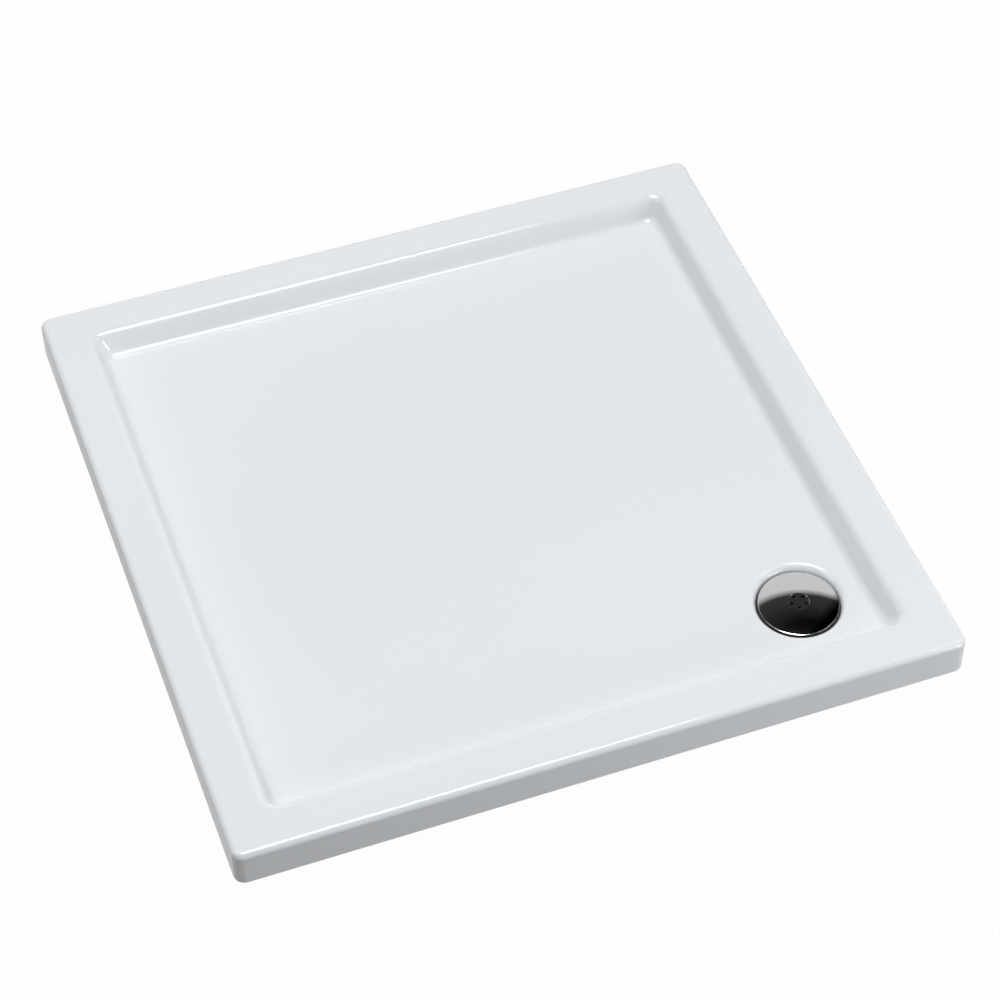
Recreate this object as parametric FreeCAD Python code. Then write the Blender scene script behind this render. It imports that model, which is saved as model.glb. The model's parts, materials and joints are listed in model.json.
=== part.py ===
import FreeCAD, Part
import math
import os

from FreeCAD import Vector

# Square acrylic shower tray on adjustable feet, with its sump, waste and trap.
# Millimetres, +Z up. The origin is on the floor, under the middle of the tray.
# The front is -Y and the drain is in the front right corner, at +X and -Y.
# Heights stack up from the floor: trap, sump, basin floor, rim. The feet fill what is left.

# ---------------------------------------------------------------- driving sizes
# Tray, as seen from above
TRAY_LENGTH = 900.0         # along X
TRAY_WIDTH = 900.0          # along Y
APRON_HEIGHT = 50.0         # rim down to the apron's lower edge
PLAN_CORNER = 14.0          # upright outer corners
TOP_EDGE = 8.0              # roll of the rim's outer edge
RIM_WIDTH = 56.0            # outer face to where rim and basin wall would meet
LIP_ROUND = 12.0            # roll from the rim into the basin
WALL_DRAFT = 24.5           # basin wall from upright, in degrees
COVE_ROUND = 11.0           # basin wall into the floor
BASIN_CORNER = 14.0         # basin's corners in plan
BASIN_DEPTH = 30.5          # rim down to the floor beside the sump
FLOOR_FALL = 0.004          # floor's fall towards the drain, height over run

# Sump round the drain
SUMP_RADIUS = 51.25
SUMP_DEPTH = 15.0
SUMP_EDGE = 11.0            # roll from the floor into the sump
SUMP_COVE = 1.75
LAND_X = 12.25              # floor left between the cove and the sump's roll, on the right
LAND_Y = 10.25              # and at the front
LEVEL_RING = 6.0            # level floor round the sump before the fall starts
DRAIN_HOLE = 45.0           # radius

# What stiffens the shell from below
SHELL = 4.0                 # acrylic sheet
LAMINATE = 2.5              # glass fibre and resin
LAMINATE_SHORT = 4.0        # laminate stops this far above the apron's edge
BOARD = 10.0                # thickness of the base board
BOARD_MARGIN = 5.0          # board's edge to the end of the level underside
BOARD_CORNER = 12.0
BOARD_CUT_GAP = 16.0        # clear space round the sump in the board's cut-out
BATTEN_WIDTH = 32.0
BATTEN_DEPTH = 18.0
BATTEN_GAP = 0.5            # resin between batten and laminate

# Feet
FOOT_INSET = 140.0          # corner feet, from the tray's outer faces
DRAIN_FOOT = 150.0          # feet beside the drain, from its axis
STUD_RADIUS = 6.0
STUD_CHAMFER = 1.0
STUD_TOP_GAP = 0.3          # stud's top under the board when run right in
RUNNING_FIT = 0.05          # radial play of everything that turns or slides in a bore
COLLAR_FLATS = 17.0         # hexagon that a spanner turns
COLLAR_HEIGHT = 7.0
NUT_FLATS = 19.0
NUT_HEIGHT = 7.0
PAD_RADIUS = 27.0
PAD_EDGE = 4.0              # upright part of the pad's rim
PAD_HEIGHT = 12.0
PAD_TOP_RADIUS = 13.0
PAD_FLOOR = 4.5             # under the stud's end
SOCKET_PLATE = 60.0         # square plate under the board
SOCKET_PLATE_THICK = 4.0
SOCKET_CORNER = 8.0
SOCKET_LENGTH = 45.0        # plate and barrel
SOCKET_RADIUS = 12.5
SOCKET_RIB = 3.0
SOCKET_RIB_SHORT = 8.0      # barrel left bare below its ribs
WOOD_SCREW_RADIUS = 2.0
WOOD_SCREW_GRIP = 8.0       # length in the board
WOOD_SCREW_HEAD = 4.0       # head's radius
WOOD_SCREW_HEAD_HEIGHT = 2.4
WOOD_SCREW_INSET = 7.5      # from the plate's edges
LOOSE_FIT = 0.15            # radial play of pieces that are clamped or pushed together

# Waste fitting, clamped through the drain hole
UPPER_GASKET = 1.5
LOWER_GASKET = 3.0
CLAMP_THICK = 3.0
CLAMP_EDGE = 0.5            # clamp ring and gaskets, in from the level part of the sump
THROAT_RADIUS = 34.0
NECK_RADIUS = 44.0          # trap's neck in the drain hole
NECK_SHORT = 0.5            # neck's end under the clamp ring
TRAP_FLANGE = 4.0
CLAMP_SCREWS = 4
CLAMP_SCREW_CIRCLE = 39.3   # radius
CLAMP_SCREW_RADIUS = 2.5
CLAMP_SCREW_LENGTH = 15.0
CLAMP_SCREW_HEAD = 4.7

# Trap
FLOOR_CLEARANCE = 12.0      # trap's bottom above the floor
TRAP_WALL = 3.0
BOWL_RADIUS = 46.0
BOWL_FOOT_RADIUS = 42.0     # bowl tapers to this
BOWL_FOOT_ROUND = 8.0
LEDGE_RADIUS = 31.0         # bore under the ledge that carries the insert
SHOULDER = 5.0              # bowl's ceiling, measured below the flange's top
STUB_ABOVE = 5.0            # flange's underside to the outlet stub
STUB_LENGTH = 26.0          # outlet stub, beyond the bowl
STUB_WALL = 4.0
PIPE_RADIUS = 25.0          # outside of the waste pipe
PIPE_WALL = 2.5
SOCKET_DEPTH = 22.0         # how far the elbow goes into the stub
ELBOW_END_GAP = 2.0
OUTLET_HEADING = 135.0      # outlet's heading in plan, degrees from +X
ELBOW_TURN = 45.0
ELBOW_BEND = 40.0           # bend radius on the centre line
ELBOW_LEG = 45.0
SLIP_NUT_WALL = 5.0
SLIP_NUT_GRIP = 18.0        # length over the stub
SLIP_NUT_LIP = 3.5
SLIP_NUT_RIBS = 12
SLIP_NUT_RIB = 1.5          # how far the grip ribs stand out
CONE_SEAL = 5.0

# Lift-out insert that holds the water seal
INSERT_FLANGE = 3.0
INSERT_FLANGE_GAP = 0.3
INSERT_FLAT = 27.0          # level top of the flange starts at this radius
SKIRT_LENGTH = 7.5
SKIRT_GAP = 0.8
SKIRT_WALL = 2.5
TUBE_RADIUS = 18.0          # bore of the dip tube
TUBE_WALL = 2.0
FUNNEL_DROP = 6.5
SEAL_RING = 0.95            # radius of the sealing ring's section
CUP_GAP = 0.7               # cup inside the ledge's bore
CUP_WALL = 2.0
CUP_FLOOR_GAP = 3.0         # cup's bottom over the bowl's
CUP_RIM_DROP = 19.0         # cup's rim below the flange's underside
CUP_PASSAGE = 7.0           # dip tube's end above the cup's floor
CUP_RIBS = 3
CUP_RIB = 2.0

# Cover cap and its holder
CAP_GAP = 2.0               # between cap and sump wall
CAP_RISE = 4.25             # crown of the dome
CAP_WALL = 1.6
CAP_RIM = 1.8               # height of the turned-down rim
CAP_ROUND = 0.9
CAP_SUNK = 0.7              # top of the dome under the floor beside the sump
DISC_RADIUS = 13.0          # sunk disc in the middle
DISC_DEPTH = 0.8
DISC_HOLES = 5
DISC_HOLE_RADIUS = 2.0
DISC_HOLE_CIRCLE = 9.25
CAP_BOSS = 1.4              # cap's thickness under the sunk disc
CAP_COLLAR_RADIUS = 6.6
CAP_COLLAR = 3.0
HOLDER_HUB = 5.0
HOLDER_FINS = 5
HOLDER_FIN = 2.0
HOLDER_REACH = 31.0         # fins' shoulders on the insert's flange
HOLDER_PLUG = 15.0          # fins' length below that flange's top
HOLDER_GAP = 0.3            # fins inside the dip tube

# ---------------------------------------------------------------- heights and places
STUB_RADIUS = PIPE_RADIUS + STUB_WALL
SLIP_NUT_RADIUS = STUB_RADIUS + SLIP_NUT_WALL
OUTLET_AXIS = FLOOR_CLEARANCE + SLIP_NUT_RADIUS + SLIP_NUT_RIB
FLANGE_UNDER = OUTLET_AXIS + STUB_RADIUS + STUB_ABOVE
FLANGE_TOP = FLANGE_UNDER + TRAP_FLANGE
SUMP_UNDER = FLANGE_TOP + LOWER_GASKET
SEAT = SUMP_UNDER + LAMINATE + SHELL
FLOOR = SEAT + SUMP_DEPTH
RIM_TOP = FLOOR + BASIN_DEPTH
APRON_LOW = RIM_TOP - APRON_HEIGHT
BOARD_TOP = FLOOR - SHELL - LAMINATE
BOARD_UNDER = BOARD_TOP - BOARD
MOULD_BASE = min(SUMP_UNDER, APRON_LOW) - 20.0

WALL_TAN = math.tan(math.radians(WALL_DRAFT))
WALL_COS = math.cos(math.radians(WALL_DRAFT))
COVE_RUN = math.tan(math.radians(90.0 - WALL_DRAFT) / 2.0)
SKIN = SHELL + LAMINATE
DRAIN_INSET = RIM_WIDTH + BASIN_DEPTH * WALL_TAN + COVE_ROUND * COVE_RUN + SUMP_EDGE + SUMP_RADIUS
DRAIN_X = TRAY_LENGTH / 2.0 - DRAIN_INSET - LAND_X
DRAIN_Y = -(TRAY_WIDTH / 2.0 - DRAIN_INSET - LAND_Y)
DRAIN = (DRAIN_X, DRAIN_Y)

CLAMP_LOW = SEAT + UPPER_GASKET
CLAMP_TOP = CLAMP_LOW + CLAMP_THICK
CLAMP_RADIUS = SUMP_RADIUS - SUMP_COVE - CLAMP_EDGE
BOWL_CEILING = FLANGE_TOP - SHOULDER
LEDGE = BOWL_CEILING + SKIRT_LENGTH + 0.5
INSERT_TOP = LEDGE + INSERT_FLANGE
CUP_RADIUS = LEDGE_RADIUS - CUP_GAP
CUP_LOW = FLOOR_CLEARANCE + TRAP_WALL + CUP_FLOOR_GAP
CUP_RIM_Z = FLANGE_UNDER - CUP_RIM_DROP
TUBE_END = CUP_LOW + CUP_WALL + CUP_PASSAGE
TUBE_OUTER = TUBE_RADIUS + TUBE_WALL
CAP_RADIUS = SUMP_RADIUS - CAP_GAP
CAP_TOP = FLOOR - CAP_SUNK
DOME_RADIUS = (CAP_RADIUS ** 2 + CAP_RISE ** 2) / (2.0 * CAP_RISE)
CAP_BOSS_LOW = CAP_TOP - DISC_DEPTH - CAP_BOSS
STUB_END = BOWL_RADIUS + STUB_LENGTH

FOOT_X = TRAY_LENGTH / 2.0 - FOOT_INSET
FOOT_Y = TRAY_WIDTH / 2.0 - FOOT_INSET
FOOT_PLACES = {
    "front_left": (-FOOT_X, -FOOT_Y),
    "back_left": (-FOOT_X, FOOT_Y),
    "back_right": (FOOT_X, FOOT_Y),
    "centre": (0.0, 0.0),
    "drain_left": (DRAIN_X - DRAIN_FOOT, -FOOT_Y),
    "drain_back": (FOOT_X, DRAIN_Y + DRAIN_FOOT),
}
SOCKET_LOW = BOARD_UNDER - SOCKET_LENGTH

ROUND_SHARE = 1.0 - math.sqrt(0.5)      # how far a quarter arc's middle is from its square corner


# ---------------------------------------------------------------- shapes used more than once
def rounded_outline(half_x, half_y, radius, z):
    """Rectangle with round corners, as a closed wire of four lines and four arcs."""
    radius = max(radius, 0.5)
    cut = radius * ROUND_SHARE
    edges = []
    for turn in range(4):
        sides = (half_x, half_y) if turn % 2 == 0 else (half_y, half_x)
        before = Vector(sides[0], sides[1] - radius, z)
        middle = Vector(sides[0] - cut, sides[1] - cut, z)
        after = Vector(sides[0] - radius, sides[1], z)
        following = Vector(-(sides[0] - radius), sides[1], z)
        corner = [Part.Arc(before, middle, after).toShape(), Part.makeLine(after, following)]
        for edge in corner:
            edge.rotate(Vector(0, 0, 0), Vector(0, 0, 1), 90.0 * turn)
        edges += corner
    return Part.Wire(edges)


def prism(outline, height):
    return Part.Face(outline).extrude(Vector(0, 0, height))


def turned(profile, place=(0.0, 0.0)):
    """Solid turned about an upright axis. A point is (radius, z); a pair of points is an arc's
    middle and end."""
    edges = []
    last = profile[0]
    for entry in profile[1:] + profile[:1]:
        is_arc = isinstance(entry[0], tuple)
        end = entry[1] if is_arc else entry
        start_point = Vector(last[0], 0, last[1])
        end_point = Vector(end[0], 0, end[1])
        if is_arc:
            middle = Vector(entry[0][0], 0, entry[0][1])
            edges.append(Part.Arc(start_point, middle, end_point).toShape())
        elif (start_point - end_point).Length > 1e-6:
            edges.append(Part.makeLine(start_point, end_point))
        last = end
    solid = Part.Face(Part.Wire(edges)).revolve(Vector(0, 0, 0), Vector(0, 0, 1), 360)
    solid.translate(Vector(place[0], place[1], 0))
    return solid


def rod(radius, low, high, place=(0.0, 0.0)):
    return Part.makeCylinder(radius, high - low, Vector(place[0], place[1], low))


def ring(outer, inner, low, high, place=(0.0, 0.0)):
    return rod(outer, low, high, place).cut(rod(inner, low, high, place))


def hexagon(flats, low, high, place):
    corner = flats / math.sqrt(3.0)
    points = []
    for side in range(7):
        angle = math.radians(60.0 * side)
        points.append(Vector(corner * math.cos(angle), corner * math.sin(angle), low))
    solid = prism(Part.makePolygon(points), high - low)
    solid.translate(Vector(place[0], place[1], 0))
    return solid


def round_the_axis(shape, count, place=(0.0, 0.0), first=0.0):
    """Copies of a shape that was made on the +X side of an upright axis through the origin."""
    copies = []
    for number in range(count):
        copy = shape.copy()
        copy.rotate(Vector(0, 0, 0), Vector(0, 0, 1), first + number * 360.0 / count)
        copy.translate(Vector(place[0], place[1], 0))
        copies.append(copy)
    return copies


def fin(profile, thickness):
    """Upright plate through the axis, on its +X side, with an outline of (radius, z) points."""
    points = [Vector(radius, -thickness / 2.0, z) for radius, z in profile]
    face = Part.Face(Part.makePolygon(points + points[:1]))
    return face.extrude(Vector(0, thickness, 0))


def round_edges(shape, radius, wanted):
    """Fillets the edges whose end points all pass the test."""
    edges = [edge for edge in shape.Edges if len(edge.Vertexes) == 2 and all(map(wanted, edge.Vertexes))]
    return shape.makeFillet(radius, edges) if radius > 0.3 and edges else shape


# ---------------------------------------------------------------- the tray's form
def basin_half(side, z, offset):
    """Half the basin's width at height z, with its sloping wall moved out square by offset."""
    return side / 2.0 - RIM_WIDTH - (RIM_TOP - z) * WALL_TAN + offset / WALL_COS


def basin_space(offset, level=None):
    """The air in the basin, grown by offset. With a level, the space ends flat there."""
    bottom = (FLOOR - offset if level is None else level) - 5.0
    outlines = []
    for z in (bottom, RIM_TOP + 5.0):
        half_x = basin_half(TRAY_LENGTH, z, offset)
        half_y = basin_half(TRAY_WIDTH, z, offset)
        outlines.append(rounded_outline(half_x, half_y, BASIN_CORNER + offset, z))
    walls = Part.makeLoft(outlines, True, True)
    reach = TRAY_LENGTH + TRAY_WIDTH
    ceiling = RIM_TOP + 30.0
    if level is None:
        start = SUMP_RADIUS + SUMP_EDGE + LEVEL_RING
        low = FLOOR - offset
        far = low + FLOOR_FALL * (reach - start)
        over_floor = turned([(0, low), (start, low), (reach, far), (reach, ceiling), (0, ceiling)], DRAIN)
    else:
        over_floor = Part.makeBox(2 * reach, 2 * reach, ceiling - level, Vector(-reach, -reach, level))
    space = walls.common(over_floor)
    return round_edges(space, COVE_ROUND + offset, lambda point: point.Z < RIM_TOP - BASIN_DEPTH / 2.0)


def sump_space(offset):
    """The air in the sump, grown by offset, with a little above it to join the basin's."""
    wall = SUMP_RADIUS + offset
    cove = SUMP_COVE + offset
    edge = SUMP_EDGE - offset
    seat = SEAT - offset
    floor = FLOOR - offset
    cove_cut = cove * ROUND_SHARE
    profile = [(0, seat), (wall - cove, seat), ((wall - cove_cut, seat + cove_cut), (wall, seat + cove))]
    if edge > 0.3:
        edge_cut = edge * ROUND_SHARE
        profile.append((wall, floor - edge))
        profile.append(((wall + edge_cut, floor - edge_cut), (wall + edge, floor)))
        wall += edge
    return turned(profile + [(wall, floor + 3.0), (0, floor + 3.0)], DRAIN)


def tray_mould(offset, level=None):
    """Everything under the tray's visible surface, with that surface moved in by offset."""
    top = RIM_TOP - offset
    half_x = TRAY_LENGTH / 2.0 - offset
    half_y = TRAY_WIDTH / 2.0 - offset
    block = prism(rounded_outline(half_x, half_y, PLAN_CORNER - offset, MOULD_BASE), top - MOULD_BASE)
    block = round_edges(block, TOP_EDGE - offset, lambda point: abs(point.Z - top) < 1e-4)
    form = block.cut(basin_space(offset, level))

    def on_lip(point):
        inside_x = abs(point.X) < half_x - RIM_WIDTH / 2.0
        inside_y = abs(point.Y) < half_y - RIM_WIDTH / 2.0
        return abs(point.Z - top) < 1e-4 and inside_x and inside_y

    form = round_edges(form, LIP_ROUND - offset, on_lip)
    return form.cut(sump_space(offset))


def below(z):
    """Everything under z, apart from a column round the sump."""
    depth = z - MOULD_BASE + 10.0
    corner = Vector(-TRAY_LENGTH, -TRAY_WIDTH, z - depth)
    slab = Part.makeBox(2 * TRAY_LENGTH, 2 * TRAY_WIDTH, depth, corner)
    return slab.cut(rod(SUMP_RADIUS + SKIN + 8.0, z - depth, z, DRAIN))


def base_board():
    half_x = basin_half(TRAY_LENGTH, BOARD_TOP, SKIN) - (COVE_ROUND + SKIN) * COVE_RUN - BOARD_MARGIN
    half_y = basin_half(TRAY_WIDTH, BOARD_TOP, SKIN) - (COVE_ROUND + SKIN) * COVE_RUN - BOARD_MARGIN
    board = prism(rounded_outline(half_x, half_y, BOARD_CORNER, BOARD_UNDER), BOARD)
    reach = SUMP_RADIUS + SKIN + BOARD_CUT_GAP
    cut = rod(reach, BOARD_UNDER, BOARD_TOP, DRAIN)
    to_right = Vector(DRAIN_X, DRAIN_Y - 2 * reach, BOARD_UNDER)
    to_front = Vector(DRAIN_X - reach, DRAIN_Y - 3 * reach, BOARD_UNDER)
    cut = cut.fuse([Part.makeBox(3 * reach, 3 * reach, BOARD, to_right),
                    Part.makeBox(3 * reach, 3 * reach, BOARD, to_front)])
    board = board.cut(cut)
    pilot_top = BOARD_UNDER + WOOD_SCREW_GRIP + 0.5
    pilots = [rod(WOOD_SCREW_RADIUS + LOOSE_FIT, BOARD_UNDER, pilot_top, place) for place in wood_screw_places()]
    return board.cut(Part.makeCompound(pilots))


def rim_battens():
    """Four strips of wood that stiffen the rim from below."""
    top = RIM_TOP - SKIN - BATTEN_GAP
    outer_x = TRAY_LENGTH / 2.0 - SKIN - BATTEN_GAP
    outer_y = TRAY_WIDTH / 2.0 - SKIN - BATTEN_GAP
    long_half = outer_x - max(PLAN_CORNER - SKIN, 1.0)
    short_half = outer_y - BATTEN_WIDTH - 1.0
    low = top - BATTEN_DEPTH
    return {
        "front": Part.makeBox(2 * long_half, BATTEN_WIDTH, BATTEN_DEPTH, Vector(-long_half, -outer_y, low)),
        "back": Part.makeBox(2 * long_half, BATTEN_WIDTH, BATTEN_DEPTH,
                             Vector(-long_half, outer_y - BATTEN_WIDTH, low)),
        "left": Part.makeBox(BATTEN_WIDTH, 2 * short_half, BATTEN_DEPTH, Vector(-outer_x, -short_half, low)),
        "right": Part.makeBox(BATTEN_WIDTH, 2 * short_half, BATTEN_DEPTH,
                              Vector(outer_x - BATTEN_WIDTH, -short_half, low)),
    }


# ---------------------------------------------------------------- feet
def wood_screw_places():
    out = SOCKET_PLATE / 2.0 - WOOD_SCREW_INSET
    places = []
    for x, y in FOOT_PLACES.values():
        places += [(x + side * out, y + end * out) for side in (-1, 1) for end in (-1, 1)]
    return places


def wood_screw(place):
    plate_under = BOARD_UNDER - SOCKET_PLATE_THICK
    shank = rod(WOOD_SCREW_RADIUS, plate_under, BOARD_UNDER + WOOD_SCREW_GRIP, place)
    head = rod(WOOD_SCREW_HEAD, plate_under - WOOD_SCREW_HEAD_HEIGHT, plate_under, place)
    return shank.fuse(head)


def foot_socket(place):
    """Plate and ribbed barrel that is screwed to the board and guides one stud."""
    half = SOCKET_PLATE / 2.0
    plate_under = BOARD_UNDER - SOCKET_PLATE_THICK
    plate = prism(rounded_outline(half, half, SOCKET_CORNER, plate_under), SOCKET_PLATE_THICK)
    barrel = rod(SOCKET_RADIUS, SOCKET_LOW, BOARD_UNDER)
    inner = SOCKET_RADIUS - 1.0
    rib_low = SOCKET_LOW + SOCKET_RIB_SHORT
    rib = fin([(inner, rib_low), (SOCKET_RADIUS + 0.5, rib_low), (half - 2.0, plate_under),
               (half - 2.0, plate_under + 1.0), (inner, plate_under + 1.0)], SOCKET_RIB)
    body = plate.fuse([barrel] + round_the_axis(rib, 4))
    out = half - WOOD_SCREW_INSET
    holes = [rod(STUD_RADIUS + RUNNING_FIT, SOCKET_LOW, BOARD_UNDER)]
    for x, y in ((out, out), (-out, out), (-out, -out), (out, -out)):
        holes.append(rod(WOOD_SCREW_RADIUS + LOOSE_FIT, plate_under, BOARD_UNDER, (x, y)))
    body = body.cut(Part.makeCompound(holes)).removeSplitter()
    body.translate(Vector(place[0], place[1], 0))
    return body


def lock_nut(place):
    low = SOCKET_LOW - NUT_HEIGHT
    bore = rod(STUD_RADIUS + RUNNING_FIT, low, SOCKET_LOW, place)
    return hexagon(NUT_FLATS, low, SOCKET_LOW, place).cut(bore)


def foot_stud(place):
    top = BOARD_UNDER - STUD_TOP_GAP
    shaft = turned([(0, PAD_FLOOR), (STUD_RADIUS, PAD_FLOOR), (STUD_RADIUS, top - STUD_CHAMFER),
                    (STUD_RADIUS - STUD_CHAMFER, top), (0, top)], place)
    return shaft.fuse(hexagon(COLLAR_FLATS, PAD_HEIGHT, PAD_HEIGHT + COLLAR_HEIGHT, place))


def foot_pad(place):
    bore = STUD_RADIUS + LOOSE_FIT
    return turned([(0, 0), (PAD_RADIUS - 1.0, 0), (PAD_RADIUS, 1.0), (PAD_RADIUS, PAD_EDGE),
                   (PAD_TOP_RADIUS, PAD_HEIGHT), (bore, PAD_HEIGHT), (bore, PAD_FLOOR), (0, PAD_FLOOR)], place)


# ---------------------------------------------------------------- waste fitting
def clamp_screw_head_depth():
    return CLAMP_SCREW_HEAD - CLAMP_SCREW_RADIUS


def clamp_screw():
    """Countersunk screw on the +X side of the drain's axis."""
    depth = clamp_screw_head_depth()
    top = CLAMP_TOP - 0.1
    return turned([(0, top - CLAMP_SCREW_LENGTH), (CLAMP_SCREW_RADIUS, top - CLAMP_SCREW_LENGTH),
                   (CLAMP_SCREW_RADIUS, top - depth), (CLAMP_SCREW_HEAD, top), (0, top)],
                  (CLAMP_SCREW_CIRCLE, 0.0))


def clamp_ring():
    depth = clamp_screw_head_depth()
    body = turned([(THROAT_RADIUS, CLAMP_LOW), (CLAMP_RADIUS, CLAMP_LOW), (CLAMP_RADIUS, CLAMP_TOP - 1.0),
                   (CLAMP_RADIUS - 1.0, CLAMP_TOP), (THROAT_RADIUS + 1.5, CLAMP_TOP),
                   (THROAT_RADIUS, CLAMP_TOP - 1.5)], DRAIN)
    hole = CLAMP_SCREW_RADIUS + LOOSE_FIT
    head = CLAMP_SCREW_HEAD + LOOSE_FIT
    sink = turned([(0, CLAMP_LOW - 1.0), (hole, CLAMP_LOW - 1.0), (hole, CLAMP_TOP - depth),
                   (head, CLAMP_TOP), (0, CLAMP_TOP)], (CLAMP_SCREW_CIRCLE, 0.0))
    return body.cut(Part.makeCompound(round_the_axis(sink, CLAMP_SCREWS, DRAIN, 45.0)))


def trap_body():
    """Flange, neck and bowl in one moulding, with a stub for the outlet on its side."""
    neck_top = CLAMP_LOW - NECK_SHORT
    foot_cut = BOWL_FOOT_ROUND * ROUND_SHARE
    low = FLOOR_CLEARANCE
    outside = turned([(0, low), (BOWL_FOOT_RADIUS - BOWL_FOOT_ROUND, low),
                      ((BOWL_FOOT_RADIUS - foot_cut, low + foot_cut),
                       (BOWL_FOOT_RADIUS, low + BOWL_FOOT_ROUND)),
                      (BOWL_RADIUS, FLANGE_UNDER), (CLAMP_RADIUS, FLANGE_UNDER), (CLAMP_RADIUS, FLANGE_TOP),
                      (NECK_RADIUS, FLANGE_TOP), (NECK_RADIUS, neck_top), (0, neck_top)])
    inner_foot = BOWL_FOOT_RADIUS - TRAP_WALL
    inner_round = BOWL_FOOT_ROUND - TRAP_WALL
    inner_cut = inner_round * ROUND_SHARE
    floor = low + TRAP_WALL
    inside = turned([(0, floor), (inner_foot - inner_round, floor),
                     ((inner_foot - inner_cut, floor + inner_cut), (inner_foot, floor + inner_round)),
                     (BOWL_RADIUS - TRAP_WALL, BOWL_CEILING), (LEDGE_RADIUS, BOWL_CEILING),
                     (LEDGE_RADIUS, LEDGE), (THROAT_RADIUS, LEDGE), (THROAT_RADIUS, neck_top), (0, neck_top)])
    bore = PIPE_RADIUS - PIPE_WALL
    stub = on_outlet(rod(STUB_RADIUS, 0.0, STUB_END))
    socket = on_outlet(rod(PIPE_RADIUS + RUNNING_FIT, STUB_END - SOCKET_DEPTH, STUB_END).fuse(rod(bore, 0, STUB_END)))
    tip = CLAMP_TOP - CLAMP_SCREW_LENGTH - 1.0
    screw_hole = rod(CLAMP_SCREW_RADIUS + LOOSE_FIT, tip, neck_top, (CLAMP_SCREW_CIRCLE, 0.0))
    body = outside.fuse(stub)
    for space in [inside, socket] + round_the_axis(screw_hole, CLAMP_SCREWS, (0.0, 0.0), 45.0):
        body = body.cut(space)
    body = body.removeSplitter()
    body.translate(Vector(DRAIN_X, DRAIN_Y, 0))
    return body


def on_outlet(shape):
    """Lays a shape that was made upright along the outlet, for a drain at the origin. Its z becomes the
    distance from the drain's axis."""
    shape.rotate(Vector(0, 0, 0), Vector(0, 1, 0), 90)
    shape.rotate(Vector(0, 0, 0), Vector(0, 0, 1), OUTLET_HEADING)
    shape.translate(Vector(0, 0, OUTLET_AXIS))
    return shape


def at_drain(shape):
    shape.translate(Vector(DRAIN_X, DRAIN_Y, 0))
    return shape


def slip_nut():
    inner = STUB_RADIUS + LOOSE_FIT
    start = STUB_END - SLIP_NUT_GRIP
    lip = STUB_END + CONE_SEAL
    end = lip + SLIP_NUT_LIP
    mouth = PIPE_RADIUS + 0.4
    nut = turned([(inner, start), (SLIP_NUT_RADIUS, start), (SLIP_NUT_RADIUS, end - 2.0),
                  (SLIP_NUT_RADIUS - 2.0, end), (mouth, end), (mouth, lip), (inner, lip)])
    reach = SLIP_NUT_RADIUS + SLIP_NUT_RIB
    rib = Part.makeBox(SLIP_NUT_RIB + 1.0, 4.0, end - start - 3.0, Vector(reach - SLIP_NUT_RIB - 1.0, -2.0, start))
    return at_drain(on_outlet(nut.fuse(round_the_axis(rib, SLIP_NUT_RIBS)).removeSplitter()))


def cone_seal():
    return at_drain(on_outlet(ring(STUB_RADIUS, PIPE_RADIUS + RUNNING_FIT, STUB_END, STUB_END + CONE_SEAL)))


def outlet_elbow():
    """Pipe bend that turns in the slip nut, and ends in a plain spigot for the waste pipe."""
    start = STUB_END - SOCKET_DEPTH + ELBOW_END_GAP
    bend = STUB_END + CONE_SEAL + SLIP_NUT_LIP + 4.0
    inner = PIPE_RADIUS - PIPE_WALL
    entry = ring(PIPE_RADIUS, inner, start, bend)
    pivot = Vector(0, ELBOW_BEND, bend)
    section = Part.Face([Part.Wire(Part.makeCircle(PIPE_RADIUS, Vector(0, 0, bend))),
                         Part.Wire(Part.makeCircle(inner, Vector(0, 0, bend)))])
    curve = section.revolve(pivot, Vector(-1, 0, 0), ELBOW_TURN)
    leg = ring(PIPE_RADIUS, inner, bend, bend + ELBOW_LEG)
    leg.rotate(pivot, Vector(-1, 0, 0), ELBOW_TURN)
    return at_drain(on_outlet(entry.fuse([curve, leg]).removeSplitter()))


# ---------------------------------------------------------------- lift-out insert
def insert_skirt_radius():
    return LEDGE_RADIUS - SKIRT_GAP


def seal_ring_level():
    return LEDGE - SKIRT_LENGTH / 2.0


def dip_tube():
    """Flange that hangs on the trap's ledge, a skirt for the sealing ring and the tube below."""
    flange = THROAT_RADIUS - INSERT_FLANGE_GAP
    skirt = insert_skirt_radius()
    skirt_low = LEDGE - SKIRT_LENGTH
    inner_skirt = skirt - 2 * SEAL_RING - SKIRT_WALL / 2.0
    groove = LEDGE_RADIUS - RUNNING_FIT - 2 * SEAL_RING
    groove_half = SEAL_RING + 0.25
    level = seal_ring_level()
    cone_low = INSERT_TOP - FUNNEL_DROP
    slope = FUNNEL_DROP / (INSERT_FLAT - TUBE_RADIUS)
    under = cone_low - 2.5
    return turned([(flange, INSERT_TOP), (flange, LEDGE), (skirt, LEDGE), (skirt, level + groove_half),
                   (groove, level + groove_half), (groove, level - groove_half), (skirt, level - groove_half),
                   (skirt, skirt_low), (inner_skirt, skirt_low),
                   (inner_skirt, under + slope * (inner_skirt - TUBE_OUTER)), (TUBE_OUTER, under),
                   (TUBE_OUTER, TUBE_END), (TUBE_RADIUS, TUBE_END), (TUBE_RADIUS, cone_low),
                   (INSERT_FLAT, INSERT_TOP)], DRAIN)


def seal_ring():
    centre = LEDGE_RADIUS - RUNNING_FIT - SEAL_RING
    torus = Part.makeTorus(centre, SEAL_RING, Vector(0, 0, seal_ring_level()))
    return at_drain(torus)


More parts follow.
